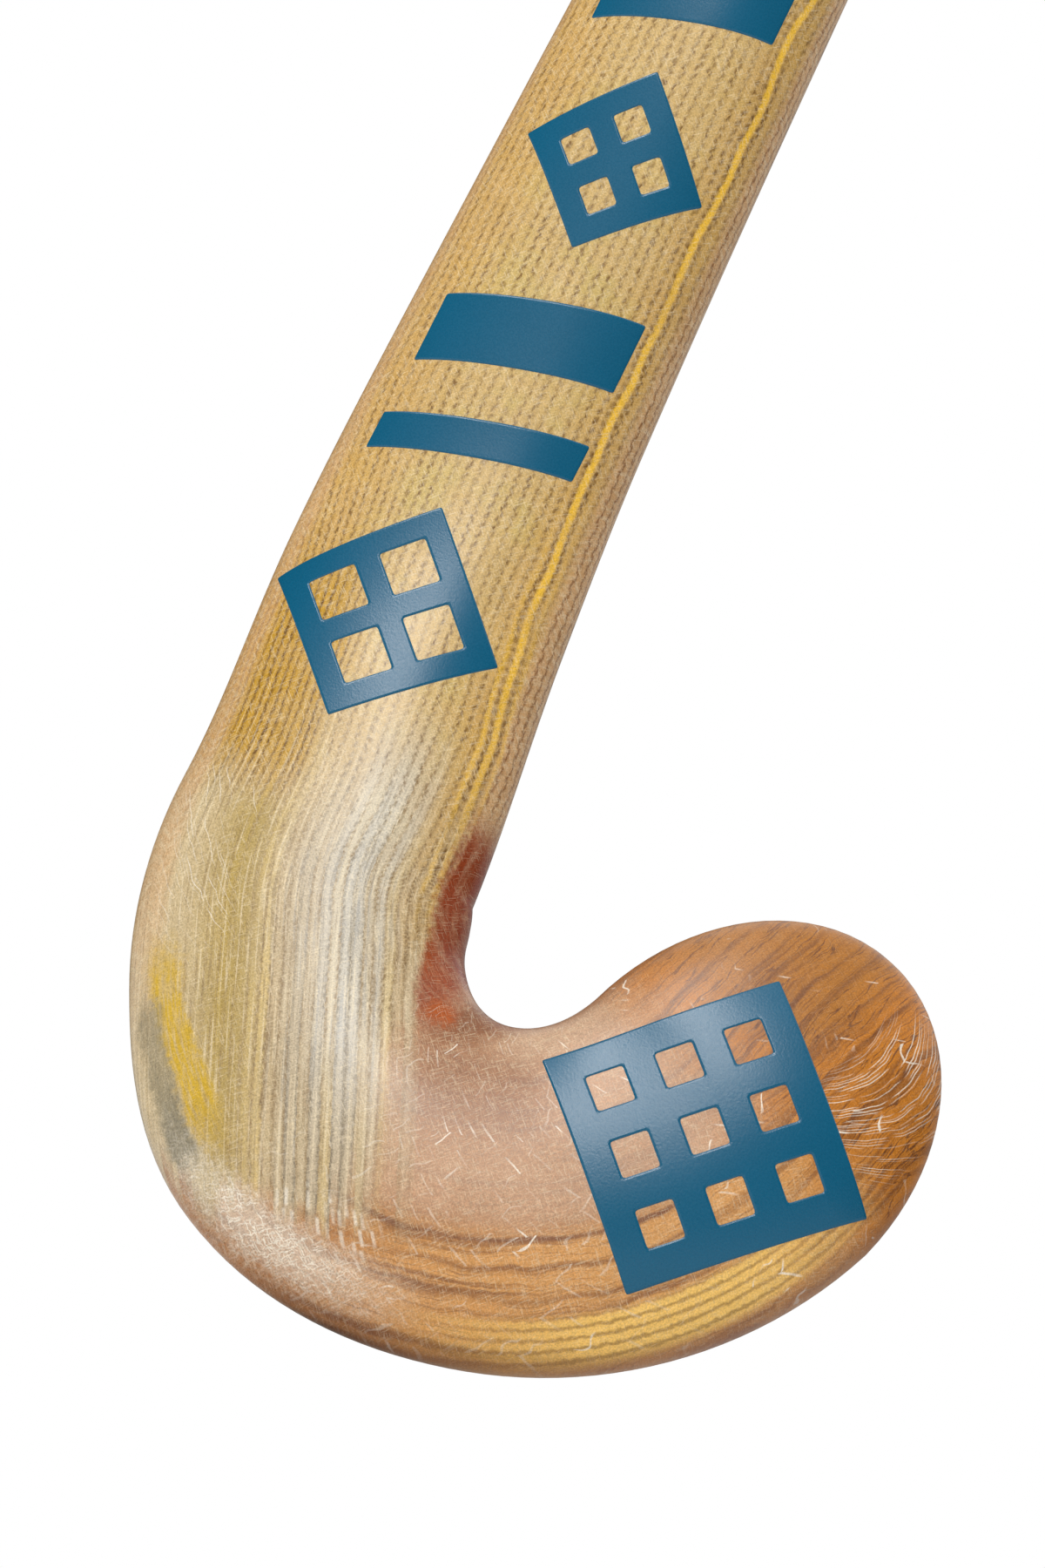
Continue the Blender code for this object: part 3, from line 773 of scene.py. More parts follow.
@dataclass
class ResinSkin:
    """The clear glass and resin skin over the whole stick, down to the toe's tip.

    It carries the measures that its finish is laid out by.
    """

    form: StickForm
    top: float  # path positions of its upper end and of the grip's lower end
    grip_end: float
    grip_step: float = 0.010
    shaft_step: float = 0.0030
    head_step: float = 0.0014
    head_top: float = 0.060  # height over the throat where the fine steps start
    toe_steps: int = 22
    last_toe_step: float = 0.25
    back_steps: int = 44
    corner_steps: int = 6
    flat_steps: int = 12
    rib_turn: float = math.radians(24)  # where the tape's ribs leave the bend and run straight

    def positions(self) -> list[float]:
        """List the path positions of the rings.

        Returns:
            The positions, from the butt to just short of the toe's tip.
        """
        stops = [
            (self.top, self.grip_end, self.grip_step),
            (self.grip_end, -self.head_top, self.shaft_step),
            (-self.head_top, self.form.hook_end, self.head_step),
        ]
        made = []
        for start, end, step in stops:
            count = round((end - start) / step)
            made += [mix(start, end, i / count) for i in range(count)]
        toe_step = self.form.toe_end / (self.toe_steps + self.last_toe_step)
        return made + [self.form.hook_end + toe_step * i for i in range(self.toe_steps + 1)]

    def outline(self, station: Station) -> list[tuple[float, float, float]]:
        """Give a ring of a section.

        Args:
            station: The section.

        Returns:
            Points as (across, y, share of the back), from the heel side round the back.
        """
        ring = []
        for i in range(self.back_steps + 1):
            ring.append((*self.form.round_point(station, 0.5 * i / self.back_steps), 1.0))
        flat = station.half - station.corner
        corner = []
        for i in range(1, self.corner_steps + 1):
            turn = i / self.corner_steps
            across = flat + station.corner * math.cos(QUARTER_TURN * turn)
            corner.append((across, station.face * math.sin(QUARTER_TURN * turn), 1 - turn))
        ring += [(-across, y, share) for across, y, share in corner]
        for i in range(1, self.flat_steps):
            ring.append((mix(-flat, flat, i / self.flat_steps), station.face, 0.0))
        return ring + corner[::-1]

    def girths(self, base: Station, ring: Sequence[tuple[float, float, float]]) -> list[float]:
        """Measure how far round the full section each point of a ring lies from the back's middle.

        Args:
            base: The section at full width.
            ring: The ring's points.

        Returns:
            One distance for each point, positive on the heel's side.
        """
        count = self.back_steps
        full = [self.form.round_point(base, 0.5 * i / count) for i in range(count + 1)]
        run = [0.0]
        for (a, b), (c, d) in zip(full, full[1:]):
            run.append(run[-1] + math.hypot(c - a, d - b))
        middle = run[-1] / 2
        found = []
        for across, y, share in ring:
            held = min(max(across, -base.half), base.half)
            i = max(k for k in range(count) if full[k][0] >= held)
            (a, _), (c, _) = full[i], full[i + 1]
            step = (a - held) / (a - c) if a > c else 0.0
            beyond = max(y, 0.0) if share < 1 else 0.0
            side = 1 if across > 0 else -1
            found.append(middle - mix(run[i], run[i + 1], step) + side * beyond)
        return found

    def build(self) -> bpy.types.Object:
        """Build the skin with its measures.

        Returns:
            The piece.
        """
        shape = bmesh.new()
        names = ("along", "across", "rib", "edge", "back")
        layers = {name: shape.verts.layers.float.new(name) for name in names}
        bend_centre = Vector((self.form.bend_radius, self.form.level))
        rib_start = self.rib_turn * self.form.bend_radius
        rib_out = self.form.path(rib_start)[1]
        rib_shift = self.form.shift(rib_start)

        def rib_at(s: float, spot: Vector, centred: float) -> float:
            """Across the ribs: from the section's middle, and straight on past the bend's start."""
            straight = (spot - bend_centre).dot(rib_out) - self.form.bend_radius - rib_shift
            return centred if s <= rib_start else straight

        rings = []
        for s in self.positions():
            station = self.form.station(s)
            base_s = min(s, self.form.hook_end)
            base = self.form.station(base_s)
            points = self.outline(station)
            past = (station.centre - base.centre).length
            shift = self.form.shift(base_s)
            ring = []
            for (across, y, share), girth in zip(points, self.girths(base, points)):
                vert = shape.verts.new(self.form.in_space(station, across, y))
                spot = Vector((vert.co.x, vert.co.z))
                rib = rib_at(s, spot, across) + (girth - across) * (share > 0)
                places = [value / MM for value in (base_s + past, across + shift, rib)]
                edge = min(abs(across) / base.half, 1.0)
                for name, value in zip(names, (*places, edge, share)):
                    vert[layers[name]] = value
                ring.append(vert)
            rings.append(ring)
        bridge(shape, rings)
        tip_station = self.form.station(self.form.hook_end + self.form.toe_end)
        tip = shape.verts.new(self.form.in_space(tip_station, 0, 0))
        for name in names:
            tip[layers[name]] = sum(v[layers[name]] for v in rings[-1]) / len(rings[-1])
        for i in range(len(rings[-1])):
            shape.faces.new((rings[-1][i], rings[-1][(i + 1) % len(rings[-1])], tip))
        shape.faces.new(rings[0])
        return add_piece("resin_skin", shape, "glass_sleeve")


@dataclass(frozen=True)
class Zone:
    """A soft-edged patch on the map of path against section, in millimetres."""

    start: float
    end: float
    low: float
    high: float
    soft_ends: float
    soft_sides: float

    def share(self, s: Tone, n: Tone) -> Tone:
        """Mark the zone with 1, at a place along the path and across the section."""
        ends = s.between(self.start, self.end, self.soft_ends)
        return ends * n.between(self.low, self.high, self.soft_sides)


class Ground(Finish):
    """The resin's material, with the measures and noises that its layers share.

    In millimetres, s runs along the path, n across the section, rib across the tape's ribs, and
    p and q on the bias, as the sleeve's threads do.
    """

    cloud_grain: float = 7.0
    fray_grain: float = 0.9

    def __init__(self, name: str) -> None:
        """Read the mesh's measures and make the shared noises.

        Args:
            name: The material's name.
        """
        super().__init__(name)
        self.s, self.n, self.rib = (self.measure(key) for key in ("along", "across", "rib"))
        self.p = (self.x + self.z) * math.sqrt(0.5)
        self.q = (self.z - self.x) * math.sqrt(0.5)
        self.place = self.spot()
        self.cloud = self.noise(self.place, self.cloud_grain, 3.0)
        self.drift = self.cloud - 0.5
        self.fray = self.noise(self.place, self.fray_grain, 2.0) - 0.5
        one = self.streaks(self.p * 0.6, self.q * 4.6, self.y * 0.6)
        two = self.streaks(self.q * 0.6, self.p * 4.6, self.y * 0.6 + 40.0)
        self.threads = one.most(two).rise(0.56, 0.72)

    def braid(self, s: Tone, n: Tone, pitch: float, thick: float) -> Tone:
        """Draw the sleeve's braid: rows of short slanted stitches that turn over at each row.

        Args:
            s: Along the rows.
            n: Across the rows.
            pitch: The rows' and the stitches' spacing.
            thick: Half a stitch's thickness, as a share of its spacing.

        Returns:
            0 to 1, how much of a stitch shows.
        """
        row = n / pitch
        number = row.floor()
        lean = (row - number) * (number.calc("PINGPONG", 1.0) * 2.0 - 1.0)
        place = s / pitch + lean * 0.8 + self.dice(number, 0.0, seed=71.0)[0] * 3.0
        chance = self.dice(place.floor(), number, seed=73.0)[0]
        return place.part().near(0.5, thick, thick * 0.8) * (chance * 0.8 + 0.2)


@dataclass(frozen=True)
class ResinFinish:
    """Stitched tape, strands and wood, seen through the satin resin, with some painted highlights
    and painted shade. Measures in millimetres.
    """

    rib_pitch: float = 1.75
    stitch_pitch: float = 1.6
    braid_pitch: float = 1.5
    chevron_pitch: float = 2.1
    dash_pitch: float = 2.6
    sole_line_pitch: float = 1.25
    lamination: float = 7.5
    speck_grain: float = 0.24
    speck_contrast: float = 0.84
    cloud_contrast: float = 0.20
    relief_grain: float = 0.40
    relief_depth: float = 0.016
    swell_grain: float = 6.0
    swell_depth: float = 0.05
    roughness: float = 0.22
    toe_roughness: float = 0.09
    speck_roughness: float = 0.14
    gloss: Gloss = Gloss(specular=0.48)
    tick: FibreLook = FibreLook(1.2, 0.30, 0.065, 0.40)
    cut_end: FibreLook = FibreLook(2.2, 0.42, 0.16, 0.75)
    bar: FibreLook = FibreLook(2.8, 0.9, 0.40, 0.6)
    swirl: FibreLook = FibreLook(9.0, 0.5, 0.11, 0.4)
    sweep: FibreLook = FibreLook(8.0, 0.45, 0.13, 0.6)
    straw: Colour = srgb(206, 172, 108)
    straw_gap: Colour = srgb(124, 90, 44)
    orange_straw: Colour = srgb(202, 152, 76)
    olive_straw: Colour = srgb(192, 170, 94)
    cream: Colour = srgb(192, 174, 144)
    cream_gap: Colour = srgb(148, 122, 84)
    bright_rib: Colour = srgb(218, 188, 116)
    # painted highlight: paler tape along the heel's side, where that edge catches the light
    painted_heel_highlight: Colour = srgb(210, 189, 152)
    strip: Colour = srgb(250, 203, 106)
    cool_gap: Colour = srgb(128, 120, 104)
    # painted highlight: a pale cool grey that stands in for the lamp's sheen on the heel's middle
    painted_highlight_grey: Colour = srgb(208, 202, 188)
    blue_grey: Colour = srgb(146, 148, 150)
    # partly the toe's heartwood colour, partly painted shade on the toe's lower side
    heartwood_and_shade: Colour = srgb(164, 102, 12)
    gold: Colour = srgb(192, 144, 10)
    gold_gap: Colour = srgb(100, 64, 18)
    olive: Colour = srgb(176, 148, 70)
    aramid: Colour = srgb(246, 194, 54)
    tan: Colour = srgb(204, 159, 112)
    tan_dash: Colour = srgb(128, 80, 44)
    amber: Colour = srgb(190, 114, 4)
    amber_pale: Colour = srgb(216, 157, 88)
    amber_dark: Colour = srgb(104, 52, 4)
    wood: Colour = srgb(180, 122, 66)
    wood_dark: Colour = srgb(128, 74, 36)
    throat: Colour = srgb(134, 48, 0)
    throat_orange: Colour = srgb(166, 76, 0)
    haze: Colour = srgb(200, 163, 134)
    lip: Colour = srgb(196, 164, 136)
    pale_fibre: Colour = srgb(240, 222, 186)
    white_fibre: Colour = srgb(244, 234, 216)
    patch_yellow: Colour = srgb(204, 165, 27)
    patch_grey: Colour = srgb(128, 118, 92)
    golden_zone: Zone = Zone(-36, 0, 5.5, 40, 7, 2)
    low_golden_zone: Zone = Zone(-22, 34, -19.5, -14, 8, 1.5)
    yellow_zone: Zone = Zone(21, 39.5, 10.6, 15.2, 3.5, 0.9)
    grey_zone: Zone = Zone(25.5, 41, 15.4, 19.0, 1.5, 0.8)
    white_zone: Zone = Zone(41, 59, 17.5, 23.5, 8, 2.2)
    bars_zone: Zone = Zone(48, 59, 12, 17, 1.5, 1.0)
    swirl_zone: Zone = Zone(-1, 20, 3, 13, 3, 2.5)
    # where the painted highlight lies on the heel
    painted_highlight_zone: Zone = Zone(-14, 46, -13, -3, 10, 3)
    grey_rib_zone: Zone = Zone(4, 50, -14, 3, 8, 3)
    # the toe's heartwood, widened over its lower side as painted shade
    heartwood_and_shade_zone: Zone = Zone(111, 144, -26, 8, 6, 4)
    bundle_zone: Zone = Zone(106, 128, 12, 25, 3, 2.5)
    strip_zone: Zone = Zone(70, 98, 21.3, 27, 10, 0.7)
    # painted shade: a darker patch over the head's middle
    painted_shade_zone: Zone = Zone(50, 78, -17, -2, 8, 5)
    orange_zone: Zone = Zone(47.0, 55.0, -19.4, -15.9, 2.5, 1.4)

    def make(self) -> bpy.types.Material:
        """Make the material.

        Returns:
            The material.
        """
        g = Ground("resin_over_fibre")
        s, back, edge = g.s, g.measure("back"), g.measure("edge")
        wood = self.timber(g)
        tape = self.tape(g).under((self.pale_fibre, g.threads * 0.30))
        colour = self.throat_wood(g, self.veiled_head(g, wood))
        colour = colour.under((tape, self.tape_share(g)))
        colour = self.sole_strip(g, self.heel_patches(g, colour))
        colour = self.face_side(g, wood).under((colour, back.rise(0.25, 0.75)))
        # painted shade: dark wood along the back's edges at the head and toe, where the surface
        # turns away
        rim = edge.rise(0.90, 1.0) * s.rise(46.0, 70.0) * back.rise(0.2, 0.8)
        colour = self.loose_fibres(g, colour).under((self.wood_dark, rim * 0.6))
        speck = g.noise(g.place, self.speck_grain, 1.0)
        light = (speck - 0.5) * self.speck_contrast + g.drift * self.cloud_contrast + 1.0
        swell = g.bump(g.noise(g.place, self.swell_grain, 1.0), self.swell_depth)
        normal = g.bump(g.noise(g.place, self.relief_grain, 1.5), self.relief_depth, swell)
        rough = speck * self.speck_roughness + s.rise(50.0, 66.0) * self.toe_roughness
        g.close(colour.dim(light), rough + self.roughness, normal, self.gloss)
        return g.material

    def timber(self, g: Ground) -> Paint:
        """Paint the laminated wood, amber at the toe and browner at the bend, darker over the toe's
        lower side.

        Args:
            g: The material.

        Returns:
            The wood's colour.
        """
        s, n, drift = g.s, g.n, g.drift
        wander = n + drift * 2.6
        streak = g.streaks(s * 0.04, wander * 0.7, 2.0, 3.0)
        pore = g.streaks(s * 0.14, wander * 4.0, 5.0, 2.0)
        vein = g.streaks(s * 0.045, wander * 0.5 + s * 0.02, 9.0, 3.0)
        to_toe = (s + drift * 16.0).rise(94.0, 110.0)
        outer = n.rise(8.0, 13.0) * s.rise(52.0, 66.0)
        light = g.paint(self.wood).under(
            (self.amber_pale, outer * 0.8),
            (self.amber, to_toe),
            # darker wood over the toe's lower side: partly its heartwood colour, partly painted
            # shade
            (self.heartwood_and_shade, self.heartwood_and_shade_zone.share(s, wander) * 0.85),
        )
        dark = g.paint(self.wood_dark).under((self.amber_dark, to_toe.most(outer * 0.3)))
        glue = (n + drift * 1.4 + self.lamination / 2).calc("PINGPONG", self.lamination / 2)
        broken = g.streaks(s * 0.15, n * 0.2, 8.0).rise(0.3, 0.6)
        strong = n.near(11.3, 1.5, 1.0) * s.rise(99.0, 92.0) * 0.5
        return light.under(
            (dark, streak.rise(0.48, 0.72) * 0.8),
            (dark, pore.rise(0.54, 0.70) * 0.5),
            (dark, vein.near(0.5, 0.008, 0.008) * to_toe * 0.9),
            (dark, glue.near(0.0, 0.36, 0.32) * (broken * 0.4 + 0.2 + strong)),
        )

    def veiled_head(self, g: Ground, wood: Paint) -> Paint:
        """Lay the braided glass sleeve's haze over the head's wood, with a patch of painted shade.

        Args:
            g: The material.
            wood: The wood's colour.

        Returns:
            The head's colour.
        """
        s, n = g.s + g.fray * 3.0, g.n + g.fray * 2.0
        inner = n.rise(7.0, 12.5).rest()
        before_toe = s.rise(92.0, 108.0).rest()
        low_toe = n.rise(-12.0, -3.0).rest()
        high = n.rise(-4.0, 5.0) * 0.10
        veil = inner * (before_toe * (high + 0.48) + low_toe * before_toe.rest() * 0.15) + 0.03
        lip = n.rise(-18.0, -11.0).rest() * s.rise(60.0, 76.0) * before_toe
        fold = (n + (s - 50.0) * 0.3).near(-16.3, 3.6, 2.5) * s.between(52.0, 79.0, 5.0)
        return wood.under(
            (self.haze, veil * (g.cloud * 0.5 + 0.75)),
            # painted shade: dark wood laid over the head's middle
            (self.wood_dark, self.painted_shade_zone.share(s, n) * 0.5),
            (self.lip, lip * 0.7),
            (self.wood_dark, fold * 0.9),
            (self.pale_fibre, g.threads * (before_toe * 0.22 + 0.04)),
        )

    def tape_share(self, g: Ground) -> Tone:
        """Mark where the tape lies: down to the heel, and round the bend inside a slanted end.

        Args:
            g: The material.

        Returns:
            How much of the tape shows.
        """
        s, n, fray, drift = g.s, g.n, g.fray, g.drift
        inner_end = (n * -1.0 + 3.0).most(0.0) * -0.55 + 55.0
        outer_end = (n - 13.0).most(0.0) * -1.5
        strands = g.dice((g.rib / self.rib_pitch * 1.6).floor(), 0.0, seed=81.0)[0] * 7.0
        end = s + fray * 3.0 + drift * 3.0 - strands - inner_end - outer_end
        bend = (s - 15.0).most(0.0)
        throat = bend * bend * 0.0095 - 24.9 + fray * 2.0 + drift * 1.5
        off_throat = (n - throat).rise(-0.8, 1.4)
        return end.rise(-7.0, 2.0).rest() * off_throat.most(s.rise(-14.0, -7.0).rest())

    def tape(self, g: Ground) -> Paint:
        """Paint the stitched glass tape of the back, its aramid strands and its braided edges, with
        painted highlights on the heel.

        Args:
            g: The material.

        Returns:
            The tape's colour.
        """
        s, rib, fray, cloud = g.s, g.rib, g.fray, g.cloud
        wave = g.streaks(s * 0.045, rib * 0.02, 7.0) - 0.5
        wander = (g.streaks(s * 0.04, 5.0, detail=2.0) - 0.5) * rib.rise(-14.0, -8.0).rest()
        bunched = s.between(-44.0, 2.0, 18.0) * rib.rise(2.0, 8.0)
        lane = rib + (rib - 3.0) * bunched * 0.4 + wave * 1.6 + wander * 3.0 + fray * 0.6
        lane = lane / self.rib_pitch * (s.rise(-20.0, 10.0) * 0.15 + 1.0)
        number = lane.floor()
        tint, warm, stagger = g.dice(number, 0.0, seed=3.0)
        gap = (lane - number - 0.5).size()
        along = g.streaks(s * 0.07, number * 3.7, 4.0, 2.0)
        in_heel = (s + cloud * 10.0).rise(-18.0, 12.0)
        golden = self.golden_zone.share(s + fray * 3.0 + g.drift * 9.0, rib)
        golden = golden * (cloud.rise(0.3, 0.6) * 0.5 + 0.5)
        olive = rib.rise(3.0, 8.0) * s.rise(-3.0, 5.0)
        low_gold = self.low_golden_zone.share(s, rib)
        orange = rib.rise(4.0, 16.0).most(rib.rise(-16.0, -9.0).rest()) * (cloud * 0.8 + 0.3)
        piece = g.streaks(s * 0.06, rib * 1.3, 21.0).rise(0.54, 0.66)
        top = g.paint(self.straw).under(
            (self.olive_straw, cloud.rise(0.45, 0.7) * 0.5),
            (self.orange_straw, orange.least(1.0) * 0.7),
            (self.cream, in_heel * (tint * 0.4 + 0.6)),
            (self.bright_rib, in_heel * warm.rise(0.66, 0.8) * along),
            (self.gold, golden * 0.85),
            (self.olive, olive * 0.8),
            # painted highlight: lighter tape towards the heel's side edge
            (self.painted_heel_highlight, olive * rib.rise(9.0, 17.0) * 0.7),
            (self.gold, low_gold * 0.22),
            # painted highlight: pale cool grey over the heel's middle, where the lamp's sheen lies
            (self.painted_highlight_grey, self.painted_highlight_zone.share(s, rib) * (tint * 0.4 + 0.35)),
            (self.blue_grey, piece * self.grey_rib_zone.share(s, rib) * 0.35),
        )
        low = g.paint(self.straw_gap).under(
            (self.cream_gap, in_heel),
            (self.cool_gap, in_heel * tint.rise(0.6, 0.85) * 0.7),
            (self.gold_gap, golden.most(low_gold * 0.5) * 0.9),
        )

        beat = s / self.stitch_pitch + number * 0.5 + stagger * 0.4 + fray * 1.1
        chance = g.dice(beat.floor(), (lane + 0.5).floor(), seed=91.0)[0]
        knot = beat.part().near(0.5, 0.26, 0.20) * (chance * 0.45 + 0.55)
        lined = s.rise(-4.0, 24.0) * 0.35 + golden * 0.45 + 0.18
        mark = gap.rise(0.14, 0.5) * lined + knot * gap.rise(0.15, 0.40) * (lined * -0.8 + 1.0)
        mark = mark * (along.rise(0.32, 0.62) * 0.55 + 0.45) * (olive * -0.65 + 1.0)
        thread = g.streaks(s * 0.10, rib * 2.4, 31.0)

        outer_edge = (rib + fray * 1.5).rise(17.5, 20.5)
        inner_edge = (rib + fray * 1.5).rise(-21.0, -18.5).rest()
        rim = outer_edge * s.rise(8.0, 34.0).rest() * 0.7
        rim = rim.most(inner_edge * s.rise(-16.0, -4.0).rest())
        dash = (s / self.dash_pitch + number * 0.5 + fray).part().near(0.5, 0.32, 0.14)
        braid = g.braid(s, g.n + fray * 0.3, self.braid_pitch, 0.2)
        bands = g.paint(self.tan).under(
            (self.pale_fibre, braid * 0.35),
            (self.tan_dash, dash * gap.rise(0.18, 0.42) * inner_edge * 0.8),
        )

        spread = s.rise(-70.0, -6.0)
        line = rib + wave * 1.6 + wander * 5.0 + spread * 2.2 + fray * 0.5
        fade = s.rise(6.0, 34.0).rest() * g.streaks(s * 0.06, 3.0).rise(0.3, 0.5)
        fade = fade * 0.75 + s.rise(2.0, 20.0).rest() * 0.25
        main = line.near(-16.2, 0.50, 0.3)
        second = line.near(-14.4, 0.34, 0.3) * spread
        third = line.near(-18.0, 0.30, 0.3) * spread * 0.7
        dark_lines = line.near(-15.3, 0.36, 0.25).most(line.near(-17.1, 0.3, 0.25))
        strong = s.rise(-40.0, 0.0) * -0.50 + 0.85
        return top.under(
            (low, mark.least(1.0)),
            (self.pale_fibre, thread.rise(0.56, 0.70) * (in_heel * 0.3 + 0.12)),
            (low, thread.rise(0.30, 0.44).rest() * (in_heel * 0.35 + 0.15)),
            (bands, rim * (cloud * 0.3 + 0.7)),
            (self.gold_gap, dark_lines * (knot * 0.6 + 0.2) * fade * 0.8),
            (self.aramid, (main + second + third).least(1.0) * fade * strong),
        )

    def throat_wood(self, g: Ground, below: Paint) -> Paint:
        """Darken the bare wood in the bend's throat, with its amber spot of resin.

        Args:
            g: The material.
            below: The colour so far.

        Returns:
            The colour.
        """
        a, edge = g.s + g.fray * 3.0, g.n + g.fray * 2.0 + g.drift * 3.0
        streak = g.streaks(g.s * 0.08, g.n * 1.1, 6.0, 3.0)
        bend = edge.rise(-18.5, -11.0).rest() * a.between(-10.0, 52.0, 6.0)
        trail = a.between(14.0, 48.0, 8.0) * edge.near(-21.5, 1.2, 2.4) * 0.5
        return below.under(
            (self.throat, bend * (streak.rise(0.3, 0.6) * 0.35 + 0.6)),
            (self.throat_orange, self.orange_zone.share(a, edge).most(trail)),
        )

    def heel_patches(self, g: Ground, below: Paint) -> Paint:
        """Add the aramid patch, the grey filler beside it and the white glass ends at the heel.

        Args:
            g: The material.
            below: The colour so far.

        Returns:
            The colour.
        """
        s, n, fray = g.s, g.n, g.fray
        a, b = s + fray * 4.0, n + fray * 2.6 + g.drift * 3.0
        grain = g.streaks(s * 0.25 + n * 0.1, n * 2.2 - s * 0.5, 1.0, 2.0)
        slope = b - (a - 30.0) * 0.26
        yellow = self.yellow_zone.share(a, slope - (a * -1.0 + 34.0).most(0.0) * 0.16)
        deep = a.rise(30.0, 40.0) * 0.45 + 0.35
        white = self.white_zone.share(s + fray * 5.0, n + fray * 4.0)
        p, q = s + n * 0.7 + fray, n - s * 0.7 + fray
        ends = g.crossed(p, q, self.cut_end, seeds=(67.0, 69.0))
        return below.under(
            (self.patch_yellow, yellow * (grain.rise(0.3, 0.6) * 0.6 + 0.35)),
            (self.patch_grey, self.grey_zone.share(a, slope) * (grain * 0.5 + deep)),
            (self.white_fibre, white * (ends * 0.7 + g.cloud * 0.4 + 0.28)),
        )

    def sole_strip(self, g: Ground, below: Paint) -> Paint:
        """Add the aramid strip that runs along the sole.

        Args:
            g: The material.
            below: The colour so far.

        Returns:
            The colour.
        """
        b = g.n + g.fray * 0.7 - (g.s - 80.0) * 0.02
        lines = (b / self.sole_line_pitch).calc("PINGPONG", 0.5).rise(0.04, 0.30) * 0.55 + 0.45
        colour = g.paint(self.gold_gap).under((self.strip, lines))
        return below.under((colour, self.strip_zone.share(g.s, b) * 0.9))

    def loose_fibres(self, g: Ground, below: Paint) -> Paint:
        """Scatter pale cut fibres: on the bias over the sleeve, and long ones at the toe.

        Args:
            g: The material.
            below: The colour so far.

        Returns:
            The colour.
        """
        s, n = g.s, g.n
        curl = g.noise(g.place, 3.0, 1.0) - 0.5
        ticks = g.crossed(g.p + curl * 0.9, g.q - curl * 0.9, self.tick, seeds=(11.0, 23.0))
        clump = g.noise(g.place, 7.0, 1.0).rise(0.58, 0.68) * s.rise(50.0, 60.0)
        spread = s.between(46.0, 86.0, 8.0) * g.noise(g.place, 5.0, 1.0).rise(0.35, 0.6) * 0.4
        chevrons = g.braid(s + curl * 2.0, n + curl * 1.5, self.chevron_pitch, 0.09)
        bars = g.fibres(n + s * 0.5, s - n * 0.5, self.bar, seed=53.0) * self.bars_zone.share(s, n)
        strong = (chevrons.rise(0.35, 0.8) * clump.most(spread)).most(bars)
        lean = g.fibres(s - n * 0.6 + curl, n + s * 0.6 + curl * 1.4, self.swirl, seed=57.0)
        arc = (s - 119.0) * (s - 119.0) * 0.045
        sweep = g.fibres(s + n * 0.3, n + curl * 0.7 + arc, self.sweep, seed=61.0)
        long = (lean * self.swirl_zone.share(s, n)).most(sweep * self.bundle_zone.share(s, n))
        return below.under(
            (self.pale_fibre, ticks * (s.rise(98.0, 112.0) * -0.20 + 0.28)),
            (self.white_fibre, long * 0.75),
            (self.white_fibre, strong * 0.75),
        )

    def face_side(self, g: Ground, wood: Paint) -> Paint:
        """Paint the flat playing side: a straight tape down to the head, then hazed wood.

        Args:
            g: The material.
            wood: The wood's colour.

        Returns:
            The colour.
        """
        lane = (g.n + g.fray * 0.6) / self.rib_pitch
        number = lane.floor()
        gap = (lane - number - 0.5).size()
        beat = (g.s / self.stitch_pitch + number * 0.5 + g.fray * 0.6).part()
        bold = g.streaks(g.s * 0.07, number * 3.7, 14.0, 2.0).rise(0.34, 0.66)
        mark = gap.rise(0.14, 0.5) * (beat.near(0.5, 0.26, 0.22) * 0.7 + 0.15) * (bold * 0.7 + 0.3)
        olive = (self.olive_straw, g.cloud.rise(0.45, 0.7) * 0.5)
        tape = g.paint(self.straw).under(olive, (self.straw_gap, mark))
        ends = (g.s + g.fray * 3.0).rise(74.0, 79.0).rest()
        return wood.under(
            (self.haze, g.cloud * 0.5 + 0.1),
            (tape, ends * 0.9),
            (self.pale_fibre, g.threads * 0.25),
        )


